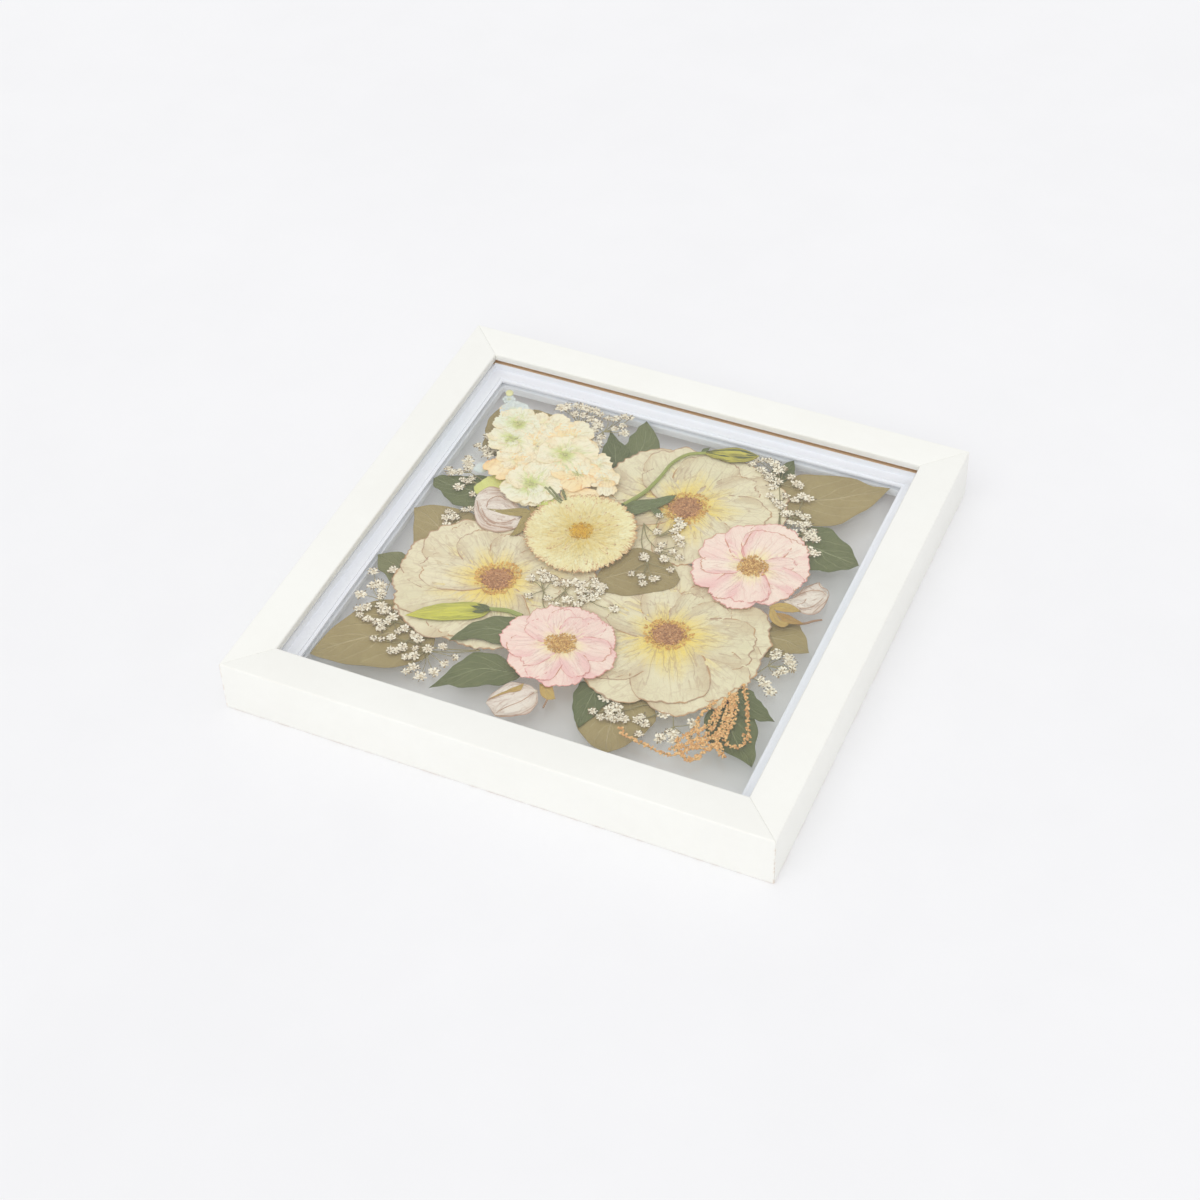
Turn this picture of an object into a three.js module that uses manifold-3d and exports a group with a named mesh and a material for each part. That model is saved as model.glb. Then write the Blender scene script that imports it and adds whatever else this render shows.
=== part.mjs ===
// A pressed flower frame, lying face up: a white mitred box frame, a front glass, a white liner
// with a ledge, a flower pane that carries the dried specimens, a lower liner and framer's points.
// Units are millimetres. X runs along the front rail, +Y to the back rail, +Z up to the face.
// The origin is the middle of the underside. Plan places are [x, y] pairs.
import * as THREE from "three";
import { mergeVertices } from "three/addons/utils/BufferGeometryUtils.js";
import Module from "manifold-3d";

const wasm = await Module();
wasm.setup();

// ---- Driving dimensions ----
const OUTER = 285; // side of the square frame
const DEPTH = 30; // rail height, back to face
const FACE = 20.5; // rail width seen from the face
const LIP = 4; // thickness of the lip over the rebate
const REBATE = 6; // width of the rebate under the lip
const EDGE = 0.6; // eased edge of the painted rail
const GLASS = 254; // side of both panes
const GLASS_THICK = 2;
const FIT = 0.3; // air between neighbours that touch
const MITRE_GAP = 0.05; // half the hairline at a mitre

const LEDGE_INSET = 27.5; // outer edge of the frame to the liner's window
const LEDGE_TOP = 18.5; // height of the liner's ledge
const LEDGE_THICK = 2.2;
const LEDGE_STEP = 1.6; // width of the lower step round the window
const STEP_DROP = 0.7;
const LINER_WALL_TOP = 22.7; // the liner's wall stops short of the front glass
const LOWER_LINER_THICK = 4;
const LOWER_LINER_INSET = 28.3;

const POINT = { wide: 6.4, long: 14, thick: 0.5, buried: 5 }; // framer's point
const POINT_SPREAD = 75; // points sit this far each side of a rail's middle

const LAYER = 0.78; // rise from one layer of specimens to the next
const SHEET = 0.26; // edge thickness of a pressed leaf or petal
const RIB = 0.2; // extra thickness along a midrib
const ROD_RISE = 0.9; // a stem or floret is never thicker than this

const half = OUTER / 2;
const rebateWall = half - FACE + REBATE;
const frontGlassTop = DEPTH - LIP - FIT;
const paneTop = LEDGE_TOP - LEDGE_THICK - FIT;
const lowerLinerTop = paneTop - GLASS_THICK - FIT;
const lowerLinerBottom = lowerLinerTop - LOWER_LINER_THICK;
const bed = paneTop + FIT; // underside of the lowest specimens

// ---- Finishes ----
const finish = (color, roughness, metalness = 0, extra = {}) =>
  new THREE.MeshStandardMaterial({ color, roughness, metalness, ...extra });
const FINISH = {
  paint: finish(0xf3f3ee, 0.45),
  glass: finish(0xe6eeee, 0.05, 0, { transparent: true, opacity: 0.2 }),
  liner: finish(0xeceff3, 0.5),
  steel: finish(0x9a9da0, 0.35, 1),
  cream: finish(0xdccfa6, 0.8),
  pink: finish(0xe9c0bb, 0.8),
  yellow: finish(0xe6d481, 0.8),
  ivory: finish(0xeee2bc, 0.8),
  mauve: finish(0xcdbcae, 0.8),
  bud: finish(0xa9ab3c, 0.75),
  khaki: finish(0x9c8c5c, 0.8),
  green: finish(0x5b6b43, 0.8),
  olive: finish(0x7c7c4c, 0.8),
  floret: finish(0xe2d9bd, 0.85),
  amber: finish(0xd79a54, 0.85),
};

const group = new THREE.Group();

function add(name, geometry, material) {
  const mesh = new THREE.Mesh(geometry, material);
  mesh.name = name;
  group.add(mesh);
  return mesh;
}

// ---- Solids from grids of points ----

// A closed geometry from a list of [x, y, z] corners and a list of faces, each a loop seen from outside.
function closedGeometry(corners, faces) {
  const index = [];
  for (const loop of faces)
    for (let i = 1; i + 1 < loop.length; i++) index.push(loop[0], loop[i], loop[i + 1]);
  const geometry = new THREE.BufferGeometry();
  geometry.setAttribute("position", new THREE.Float32BufferAttribute(corners.flat(), 3));
  geometry.setIndex(index);
  return geometry;
}

function toSolid(geometry) {
  const bare = geometry.clone();
  bare.deleteAttribute("normal");
  bare.deleteAttribute("uv");
  const merged = mergeVertices(bare, 1e-4);
  return new wasm.Manifold(
    new wasm.Mesh({
      numProp: 3,
      vertProperties: merged.attributes.position.array,
      triVerts: new Uint32Array(merged.index.array),
    }),
  );
}

function toGeometry(solid) {
  const { vertProperties, triVerts, numProp } = solid.getMesh();
  const corners = [];
  for (let i = 0; i < vertProperties.length; i += numProp)
    corners.push(vertProperties[i], vertProperties[i + 1], vertProperties[i + 2]);
  const geometry = new THREE.BufferGeometry();
  geometry.setAttribute("position", new THREE.Float32BufferAttribute(corners, 3));
  geometry.setIndex([...triVerts]);
  return geometry;
}

const join = (geometries) => toGeometry(wasm.Manifold.union(geometries.map(toSolid)));

const cut = (geometry, tools) =>
  toGeometry(wasm.Manifold.difference([toSolid(geometry), ...tools.map(toSolid)]));

// A square ring whose section is given as [inset from the frame's outer edge, z] points.
function ringGeometry(section) {
  const n = section.length;
  const corners = [];
  const faces = [];
  for (const [sx, sy] of [[-1, -1], [1, -1], [1, 1], [-1, 1]])
    for (const [inset, z] of section) corners.push([sx * (half - inset), sy * (half - inset), z]);
  for (let side = 0; side < 4; side++)
    for (let i = 0; i < n; i++) {
      const j = (i + 1) % n;
      const next = (side + 1) % 4;
      faces.push([side * n + i, side * n + j, next * n + j, next * n + i]);
    }
  return closedGeometry(corners, faces);
}

// ---- Frame ----

// The front rail: its section runs the whole side and both ends are mitred.
function railGeometry() {
  const inner = FACE;
  const wall = FACE - REBATE;
  const section = new THREE.Shape(
    [
      [EDGE, 0], [wall, 0], [wall, DEPTH - LIP], [inner, DEPTH - LIP],
      [inner, DEPTH - EDGE], [inner - EDGE, DEPTH], [EDGE, DEPTH], [0, DEPTH - EDGE], [0, EDGE],
    ].map(([u, z]) => new THREE.Vector2(u, z)),
  );
  const geometry = new THREE.ExtrudeGeometry(section, { depth: 1, bevelEnabled: false });
  const place = geometry.attributes.position;
  for (let i = 0; i < place.count; i++) {
    const [u, z, end] = [place.getX(i), place.getY(i), place.getZ(i)];
    const reach = half - u - MITRE_GAP * Math.SQRT2;
    place.setXYZ(i, end > 0.5 ? reach : -reach, u - half, z);
  }
  return geometry;
}

// Slots for the framer's points, in the front rail's rebate wall.
function pointSlots() {
  const deep = POINT.buried + 2 * FIT;
  return [-POINT_SPREAD, POINT_SPREAD].map((x) =>
    new THREE.BoxGeometry(POINT.wide + 2 * FIT, 2 * deep, POINT.thick + 2 * FIT).translate(
      x, -rebateWall, lowerLinerBottom - FIT - POINT.thick / 2,
    ),
  );
}

// A flat steel point with a tapered tail in the slot and a blunt nose under the lower liner.
function pointGeometry(x) {
  const w = POINT.wide / 2;
  const tail = -rebateWall - POINT.buried;
  const nose = tail + POINT.long;
  const shape = new THREE.Shape(
    [
      [x - w / 3, tail], [x + w / 3, tail], [x + w, tail + POINT.buried], [x + w, nose - w / 2],
      [x + w / 2, nose], [x - w / 2, nose], [x - w, nose - w / 2], [x - w, tail + POINT.buried],
    ].map(([px, py]) => new THREE.Vector2(px, py)),
  );
  return new THREE.ExtrudeGeometry(shape, { depth: POINT.thick, bevelEnabled: false }).translate(
    0, 0, lowerLinerBottom - FIT - POINT.thick,
  );
}

const SIDES = { front: 0, right: 1, back: 2, left: 3 };
const rail = cut(railGeometry(), pointSlots());
for (const [side, turns] of Object.entries(SIDES)) {
  add(`rail_${side}`, rail, FINISH.paint).rotation.z = (turns * Math.PI) / 2;
  [-POINT_SPREAD, POINT_SPREAD].forEach((x, i) => {
    const point = add(`framers_point_${side}_${i + 1}`, pointGeometry(x), FINISH.steel);
    point.rotation.z = (turns * Math.PI) / 2;
  });
}

const glassPlate = (top) =>
  new THREE.BoxGeometry(GLASS, GLASS, GLASS_THICK).translate(0, 0, top - GLASS_THICK / 2);
add("front_glass", glassPlate(frontGlassTop), FINISH.glass);
add("flower_pane", glassPlate(paneTop), FINISH.glass);

const linerOut = half - GLASS / 2;
const linerWallIn = FACE - 0.4;
add(
  "liner",
  ringGeometry([
    [linerOut, LEDGE_TOP - LEDGE_THICK],
    [LEDGE_INSET, LEDGE_TOP - LEDGE_THICK],
    [LEDGE_INSET, LEDGE_TOP - STEP_DROP],
    [LEDGE_INSET - LEDGE_STEP, LEDGE_TOP - STEP_DROP],
    [LEDGE_INSET - LEDGE_STEP, LEDGE_TOP],
    [linerWallIn, LEDGE_TOP],
    [linerWallIn, LINER_WALL_TOP],
    [linerOut, LINER_WALL_TOP],
  ]),
  FINISH.liner,
);
add(
  "lower_liner",
  ringGeometry([
    [linerOut, lowerLinerBottom],
    [LOWER_LINER_INSET, lowerLinerBottom],
    [LOWER_LINER_INSET, lowerLinerTop],
    [linerOut, lowerLinerTop],
  ]),
  FINISH.liner,
);

// ---- Leaves and buds: a skin between two sides that meet at a base and a tip ----

const level = (layer) => bed + layer * LAYER;
const plan = ([x, y]) => new THREE.Vector3(x, y, 0);
const curveThrough = (points) => new THREE.CatmullRomCurve3(points.map(plan), false, "centripetal");

// base and tip are shared by both sides; left and right are seen when facing the tip.
// The middle line rises by rise, as a midrib or as a bud's belly.
function leafGeometry({ base, tip, left, right, layer, rise = RIB, edge = SHEET, steps = 7 }) {
  const sides = [left, right].map((side) => curveThrough([base, ...side, tip]));
  const z = level(layer);
  const corners = [];
  const faces = [];
  const ring = 5; // left low, left high, middle high, right high, right low
  for (let i = 1; i < steps; i++) {
    const t = i / steps;
    const [l, r] = sides.map((curve) => curve.getPoint(t));
    const middle = l.clone().add(r).multiplyScalar(0.5);
    const crown = edge + rise * Math.sin(Math.PI * Math.min(1, t * 1.15));
    corners.push([l.x, l.y, z], [l.x, l.y, z + edge], [middle.x, middle.y, z + crown]);
    corners.push([r.x, r.y, z + edge], [r.x, r.y, z]);
  }
  for (let i = 0; i + 2 < steps; i++)
    for (let k = 0; k < ring; k++) {
      const next = (k + 1) % ring;
      faces.push([i * ring + k, i * ring + next, (i + 1) * ring + next, (i + 1) * ring + k]);
    }
  const last = (steps - 2) * ring;
  const [baseAt, tipAt] = [corners.length, corners.length + 1];
  corners.push([...base, z + edge / 2], [...tip, z + edge / 2]);
  for (let k = 0; k < ring; k++) {
    const next = (k + 1) % ring;
    faces.push([baseAt, next, k], [tipAt, last + k, last + next]);
  }
  return closedGeometry(corners, faces);
}

const LEAVES = {
  leaf_khaki_top_left: {
    base: [-90, 60], tip: [-107, 95], layer: 0, finish: "khaki",
    left: [[-102, 64], [-109, 82]], right: [[-84, 72], [-96, 92]],
  },
  leaf_khaki_top: {
    base: [-56, 86], tip: [-99, 99], layer: 0, finish: "khaki",
    left: [[-68, 80], [-86, 84]], right: [[-66, 95], [-86, 101]],
  },
  leaf_green_upper_left: {
    base: [-80, 25], tip: [-114.5, 30], layer: 0, finish: "green",
    left: [[-91, 15.5], [-107, 22]], right: [[-89, 41], [-103, 36]],
  },
  leaf_khaki_left: {
    base: [-76, -16], tip: [-113, 5], layer: 0, finish: "khaki",
    left: [[-95, -26], [-108, -9]], right: [[-80, 12], [-103, 12]],
  },
  leaf_olive_left: {
    base: [-88, -40], tip: [-114.5, -34.5], layer: 0, finish: "olive",
    left: [[-98, -50], [-110, -43.5]], right: [[-96, -28.5], [-107, -28.5]],
  },
  leaf_khaki_lower_left: {
    base: [-66, -70], tip: [-112, -109], layer: 0, finish: "khaki",
    left: [[-60, -90], [-74, -103], [-93, -109]], right: [[-86, -60], [-104, -68], [-112.5, -92]],
  },
  leaf_green_lower_a: {
    base: [-20, -62], tip: [-52, -77.5], layer: 4, finish: "green",
    left: [[-27, -70], [-41, -71.5]], right: [[-30, -51], [-46, -60]],
  },
  leaf_green_lower_b: {
    base: [-10, -80], tip: [-48, -108], layer: 1, finish: "green",
    left: [[-18, -93], [-33, -102]], right: [[-24, -74], [-41, -83]],
  },
  leaf_khaki_bottom: {
    base: [44, -72], tip: [47, -112], layer: 0, finish: "khaki",
    left: [[60, -84], [54, -103]], right: [[26, -80], [24, -97]],
  },
  leaf_green_bottom: {
    base: [30, -74], tip: [28.5, -104], layer: 1, finish: "green",
    left: [[34, -82], [31, -96]], right: [[18, -78], [20, -93]],
  },
  leaf_green_corner_a: {
    base: [86, -52], tip: [112.5, -65], layer: 1, finish: "green",
    left: [[94, -49], [104, -57]], right: [[92, -66], [103, -68]],
  },
  leaf_green_corner_b: {
    base: [84, -60], tip: [113, -95], layer: 0, finish: "green",
    left: [[100, -62], [111, -80]], right: [[83, -80], [98, -92]],
  },
  leaf_khaki_right: {
    base: [86, -12], tip: [112, -15], layer: 0, finish: "khaki",
    left: [[93, 0], [105, -3]], right: [[92, -27], [104, -21]],
  },
  leaf_green_right: {
    base: [76, 52], tip: [114.3, 48], layer: 2, finish: "green",
    left: [[86, 71], [106, 62]], right: [[88, 36], [106, 40]],
  },
  leaf_khaki_right_large: {
    base: [58, 78], tip: [110, 112], layer: 1, finish: "khaki",
    left: [[60, 101], [78, 110], [95, 112]], right: [[76, 67], [94, 76], [105, 95]],
  },
  leaf_green_top_right: {
    base: [54, 78], tip: [56.5, 114.5], layer: 0, finish: "green",
    left: [[47, 90], [50, 107]], right: [[63, 88], [60, 105]],
  },
  leaf_green_top_a: {
    base: [-23, 82], tip: [-29, 114.5], layer: 0, finish: "green",
    left: [[-32, 90], [-31.5, 106]], right: [[-13, 92], [-19, 107]],
  },
  leaf_green_top_b: {
    base: [-30, 73], tip: [-44, 100], layer: 1, finish: "green",
    left: [[-40, 79], [-42, 92]], right: [[-24, 81], [-33, 93]],
  },
  leaf_khaki_centre: {
    base: [-4, -8], tip: [35, 10], layer: 3, finish: "khaki",
    left: [[2, 17], [22, 20]], right: [[6, -19], [29, -6]],
  },
};
for (const [name, leaf] of Object.entries(LEAVES))
  add(name, leafGeometry(leaf), FINISH[leaf.finish]);

// ---- Flowers: a flat disc with a lobed rim, stepped petals and a raised centre ----

// petals is a list of [bearing in degrees, reach, half width in degrees]; the rim follows them.
// folds are the shares of the reach where the petals' top steps up; the sectors start at turn.
function flowerGeometry({
  centre, petals, layer, edge = 0.3, boss, bossHigh, sectors = 30, folds = [0.6], turn = 0,
}) {
  const rimAt = (bearing) =>
    Math.max(
      ...petals.map(([middle, reach, spread]) => {
        const off = Math.abs(((bearing - middle + 540) % 360) - 180) / spread;
        return off < 1.25 ? reach * Math.cos(off * 0.72) ** 0.45 : 0;
      }),
      boss,
    );
  const z = level(layer);
  const rings = [{ share: 1, high: edge }, ...folds.map((share) => ({ share, high: edge + 0.12 }))];
  const corners = [[...centre, z], [...centre, z + edge + bossHigh]];
  const faces = [];
  const perSector = rings.length + 3;
  for (let i = 0; i < sectors; i++) {
    const bearing = turn + (i * 360) / sectors;
    const [c, s] = [Math.cos((bearing * Math.PI) / 180), Math.sin((bearing * Math.PI) / 180)];
    const rim = rimAt(bearing);
    const at = (radius, high) => [centre[0] + radius * c, centre[1] + radius * s, z + high];
    corners.push(at(rim, 0));
    for (const { share, high } of rings) {
      const lobe = 0.06 * Math.sin((bearing * petals.length * Math.PI) / 180);
      corners.push(at(Math.max(rim * share, boss * 1.15), high + lobe));
    }
    corners.push(at(boss, edge), at(boss * 0.8, edge + bossHigh * 0.8));
    const [here, there] = [2 + i * perSector, 2 + ((i + 1) % sectors) * perSector];
    faces.push([0, there, here], [1, here + perSector - 1, there + perSector - 1]);
    for (let k = 0; k + 1 < perSector; k++)
      faces.push([here + k, there + k, there + k + 1, here + k + 1]);
  }
  return closedGeometry(corners, faces);
}

const FLOWERS = {
  rose_cream_left: {
    centre: [-49, -29], layer: 2, finish: "cream", boss: 10.5, bossHigh: 1.5,
    petals: [[75, 36, 40], [125, 46, 34], [170, 48, 34], [210, 50, 34], [255, 51, 34], [300, 44, 34], [0, 37, 40], [30, 34, 36]],
  },
  rose_cream_top: {
    centre: [17, 56], layer: 2, finish: "cream", boss: 9.8, bossHigh: 1.5,
    petals: [[105, 48, 34], [60, 50, 34], [25, 55, 36], [150, 47, 38], [195, 40, 34], [240, 30, 34], [290, 33, 36], [330, 36, 34]],
  },
  rose_cream_front: {
    centre: [44, -31], layer: 2, finish: "cream", boss: 10, bossHigh: 1.5,
    petals: [[345, 49, 34], [20, 51, 34], [60, 43, 34], [100, 42, 34], [150, 40, 36], [200, 42, 34], [245, 48, 34], [275, 48, 34], [310, 52, 34]],
  },
  rose_pink_right: {
    centre: [66, 27.5], layer: 4, finish: "pink", boss: 7.5, bossHigh: 1.2,
    petals: [[80, 33, 44], [20, 28.5, 40], [325, 28, 40], [265, 32.5, 36], [205, 29, 40], [150, 29, 40]],
  },
  rose_pink_front: {
    centre: [0, -60], layer: 5, finish: "pink", boss: 7.2, bossHigh: 1.2,
    petals: [[85, 26, 44], [35, 27, 40], [345, 30, 40], [285, 28, 40], [235, 28, 40], [175, 30, 42], [130, 25, 40]],
  },
  chrysanthemum: {
    centre: [-24, 16.5], layer: 6, finish: "yellow", boss: 7, bossHigh: 0.9,
    petals: [[60, 31, 50], [120, 31, 50], [180, 30, 50], [240, 30, 50], [300, 31, 50], [0, 30, 50]],
  },
};
for (const [name, flower] of Object.entries(FLOWERS))
  add(name, flowerGeometry(flower), FINISH[flower.finish]);

// ---- Larkspur: five-lobed blossoms that overlap down one spike ----

const LARKSPUR = {
  layer: 6,
  blossoms: [
    [-92, 87, 13], [-91, 72, 12], [-77, 83, 13], [-60, 76, 16], [-77, 61, 14], [-47, 66, 15],
    [-64, 45, 15], [-38, 60, 13], [-83, 50, 10],
  ],
  stalk: [[-98, 97], [-103, 104]],
  bud: [-105.5, 106.5],
};

function larkspurGeometry({ layer, blossoms, stalk, bud }) {
  const discs = blossoms.map(([x, y, reach], i) =>
    flowerGeometry({
      centre: [x, y], layer, edge: 0.3 + 0.05 * (i % 3), boss: 2.2, bossHigh: 0.5,
      petals: [0, 1, 2, 3, 4].map((k) => [k * 72 + i * 23, reach, 34]),
      sectors: 10, folds: [], turn: i * 23,
    }),
  );
  const z = level(layer);
  const stem = evenRod([blossoms[0].slice(0, 2), ...stalk, bud], z + 0.25, 0.5);
  const tip = knobGeometry(bud, z + 0.5, [2.4, 3.6, 0.9]);
  return join([...discs, stem, tip]);
}

// A three-sided rod along plan points; widths holds the half width at each point.
function rodGeometry(points, z, widths) {
  const corners = [];
  const faces = [];
  points.forEach(([x, y], i) => {
    const [before, after] = [points[Math.max(i - 1, 0)], points[Math.min(i + 1, points.length - 1)]];
    const along = new THREE.Vector2(after[0] - before[0], after[1] - before[1]).normalize();
    const [nx, ny] = [-along.y * widths[i], along.x * widths[i]];
    const rise = Math.min(widths[i], ROD_RISE);
    corners.push([x + nx, y + ny, z - rise / 2], [x - nx, y - ny, z - rise / 2], [x, y, z + rise / 2]);
  });
  for (let i = 0; i + 1 < points.length; i++)
    for (let k = 0; k < 3; k++) {
      const next = (k + 1) % 3;
      faces.push([i * 3 + k, i * 3 + 3 + k, i * 3 + 3 + next, i * 3 + next]);
    }
  const last = (points.length - 1) * 3;
  faces.push([0, 1, 2], [last + 2, last + 1, last]);
  return closedGeometry(corners, faces);
}

const evenRod = (points, z, width) => rodGeometry(points, z, points.map(() => width));

const knobGeometry = ([x, y], z, [rx, ry, rz]) =>
  new THREE.OctahedronGeometry(1).scale(rx, ry, rz).rotateZ(0.4).translate(x, y, z);

add("larkspur_spray", larkspurGeometry(LARKSPUR), FINISH.ivory);

// ---- Buds: a domed body, with its stem and sepals joined to it ----

const BUDS = {
  rosebud_mauve: {
    finish: "mauve", layer: 3,
    body: { base: [-60, 22], tip: [-84, 14], left: [[-66, 6], [-78, 6]], right: [[-68, 36], [-84, 34]] },
    sepals: [{ base: [-55, 24], tip: [-77, 17], left: [[-66, 18]], right: [[-64, 24]] }],
    stem: [[-62, 21], [-55, 22], [-51, 28]],
  },
  rosebud_right: {
    finish: "mauve", layer: 3,
    body: { base: [95, 8], tip: [104, 29], left: [[88, 16], [95, 27]], right: [[104, 8], [108, 20]] },
    sepals: [
      { base: [97, 12], tip: [84, 4], left: [[88, 9]], right: [[90, -1]] },
      { base: [92, 5], tip: [109.5, 8], left: [[100, 4]], right: [[100, 1.5]] },
    ],
    stem: [[94, 2], [96, 12]],
  },
  rosebud_front: {
    finish: "mauve", layer: 3,
    body: { base: [-2, -86], tip: [-16, -108], left: [[5, -94], [1, -106], [-9, -112]], right: [[-14, -90], [-18, -100]] },
    sepals: [{ base: [-2, -85], tip: [12, -91], left: [[5, -84]], right: [[4, -92]] }],
    stem: [[-2, -88], [8, -90], [9, -98]],
  },
  lisianthus_bud_left: {
    finish: "bud", layer: 4,
    body: { base: [-42, -50], tip: [-80, -70], left: [[-47, -60], [-62, -67]], right: [[-54, -49], [-70, -58]] },
    sepals: [],
    stem: [[-27, -49], [-36, -48.5], [-45, -51]],
  },
  lisianthus_bud_top: {
    finish: "bud", layer: 4,
    body: { base: [11, 98], tip: [39, 108], left: [[18, 106], [27, 109.5]], right: [[20, 97], [31, 99]] },
    sepals: [{ base: [-13, 44], tip: [10, 62], left: [[-4, 51]], right: [[-4, 40], [4, 47]] }],
    stem: [[-11, 46], [-5, 60], [-3, 76], [0, 90], [6, 96], [16, 101]],
  },
};

function budGeometry({ layer, body, sepals, stem }) {
  const belly = leafGeometry({ ...body, layer, rise: 0.8, steps: 7 });
  const flaps = sepals.map((sepal) => leafGeometry({ ...sepal, layer, rise: 0.5, edge: 0.4, steps: 5 }));
  return join([belly, ...flaps, evenRod(stem, level(layer) + 0.4, 0.9)]);
}
for (const [name, bud] of Object.entries(BUDS)) add(name, budGeometry(bud), FINISH[bud.finish]);

// ---- Baby's breath: a forked stem with a floret at each twig's end ----

const SPRAYS = {
  babys_breath_top: {
    root: [-52, 82], fork: [[-58, 98], [-45, 97]], layer: 2,
    florets: [
      [-75, 105], [-69, 109], [-62, 110], [-57, 108], [-61, 103], [-69, 94], [-52, 102],
      [-45, 107], [-37, 111], [-38, 103], [-45, 89], [-34, 98],
    ],
  },
  babys_breath_right: {
    root: [72, 50], fork: [[66, 72], [78, 64]], layer: 2.7,
    florets: [
      [38, 101], [45, 106], [54, 104], [60, 99], [56, 91], [63, 84], [67, 95], [75, 87],
      [59, 78], [63, 73], [69, 72], [76, 73], [81, 66], [73, 65], [86, 62], [76, 58], [91, 50],
    ],
  },
  babys_breath_right_low: {
    root: [90, -40], fork: [[97, -33]], layer: 1,
    florets: [
      [98, -22], [106, -23], [108, -30], [103, -35], [97, -42], [102, -47],
    ],
  },
  babys_breath_bottom: {
    root: [62, -72], fork: [[44, -84], [68, -88]], layer: 0.9,
    florets: [
      [38, -84], [43, -88], [36, -92], [42, -94], [55, -87], [57, -96], [65, -82], [67, -94],
      [73, -95], [71, -89], [79, -83], [79, -91],
    ],
  },
  babys_breath_lower_left: {
    root: [-36, -76], fork: [[-62, -84], [-88, -66]], layer: 1,
    florets: [
      [-102, -43], [-110, -47], [-106, -56], [-100, -55], [-107, -65], [-97, -63], [-87, -69],
      [-103, -75], [-90, -79], [-77, -78], [-88, -88], [-74, -92], [-66, -88],
      [-60, -84], [-49, -91], [-51, -99], [-62, -100], [-44, -84],
    ],
  },
  babys_breath_upper_left: {
    root: [-84, 28], fork: [[-94, 36]], layer: 1,
    florets: [
      [-107, 37], [-101, 38], [-97, 33], [-99, 27], [-89, 25], [-103, 48], [-101, 43],
    ],
  },
  babys_breath_left: {
    root: [-80, -2], fork: [[-88, 4]], layer: 1,
    florets: [[-95, 8], [-93, 3], [-87, 5], [-85, 14], [-91, -3]],
  },
  babys_breath_larkspur: {
    root: [-84, 52], fork: [[-93, 58]], layer: 2,
    florets: [[-101, 69], [-99, 60], [-103, 59], [-97, 55], [-92, 67], [-94, 51]],
  },
  babys_breath_centre: {
    root: [-14, -42], fork: [[-22, -26], [-2, -22]], layer: 3.6,
    florets: [
      [-33, -20], [-28, -15], [-21, -17], [-32, -31], [-25, -32], [-20, -28], [-12, -14], [-5, -12],
      [2, -12], [-3, -28], [-9, -33], [16, -26],
    ],
  },
  babys_breath_centre_right: {
    root: [2, 37], fork: [[16, 26], [22, 32]], layer: 4.2,
    florets: [
      [9, 44], [20, 43], [12, 33], [24, 31], [27, 21], [19, 18], [33, 20], [29, 10],
      [14, 12], [13, -1], [23, 0],
    ],
  },
};

const FLORET = { reach: 3.6, wide: 2.1, neck: 0.3, twig: 0.16, limb: 0.5 };

// Each floret swells at the end of a twig from the nearest fork, and the forks hang on the root.
function sprayGeometry({ root, fork, florets, layer }) {
  const z = level(layer) + 0.5;
  const distance = (a, b) => Math.hypot(a[0] - b[0], a[1] - b[1]);
  const limbs = fork.map((f) => evenRod([root, f], z, FLORET.limb));
  const twigs = florets.map((place) => {
    const from = fork.reduce((best, f) => (distance(f, place) < distance(best, place) ? f : best));
    const span = distance(from, place);
    const between = (reach) => from.map((c, k) => c + ((place[k] - c) * reach) / span);
    const path = [from, between(Math.max(span - FLORET.reach / 2, span * 0.4)), place];
    return rodGeometry(
      [...path, between(span + FLORET.reach / 2)], z, [FLORET.twig, FLORET.neck, FLORET.wide, FLORET.neck],
    );
  });
  return join([...limbs, ...twigs]);
}
for (const [name, spray] of Object.entries(SPRAYS)) add(name, sprayGeometry(spray), FINISH.floret);

// ---- Amaranthus: knobbly strands that fall from one head ----

const AMARANTHUS = {
  layer: 3.2,
  strands: [
    [[91, -50], [96, -57], [100, -66], [104, -76], [107, -81]],
    [[91, -50], [89, -62], [92, -74], [97, -86], [103, -88], [105, -82]],
    [[91, -50], [86, -66], [88, -80], [86, -96], [78, -104], [62, -103], [49, -100]],
    [[91, -50], [93, -66], [94, -84], [99, -96]],
    [[91, -50], [82, -68], [81, -82], [76, -98], [84, -104], [89, -98]],
  ],
};

function amaranthusGeometry({ layer, strands }) {
  const z = level(layer) + 0.6;
  const cords = strands.map((strand) => {
    const path = curveThrough(strand).getSpacedPoints(strand.length * 2);
    return evenRod(path.map(({ x, y }) => [x, y]), z, 1);
  });
  return join(cords);
}
add("amaranthus", amaranthusGeometry(AMARANTHUS), FINISH.amber);

export default group;
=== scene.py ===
"""Pressed flower frame: painted rails, two glass panes, white liners and dried flowers.

Sizes in the classes below are millimetres in the frame's own axes: X along the front rail, +Y to
the back rail, +Z out of the face, with the origin in the middle of the underside. Heights come
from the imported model, so each specimen lies on the layer that the model gives it.
"""

import logging
import math
import random
from contextlib import contextmanager
from dataclasses import dataclass, replace
from enum import Enum
from functools import cache
from typing import Any, Callable, Iterator, Sequence

import bmesh
import bpy
import numpy as np
from mathutils import Matrix, Vector


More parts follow.
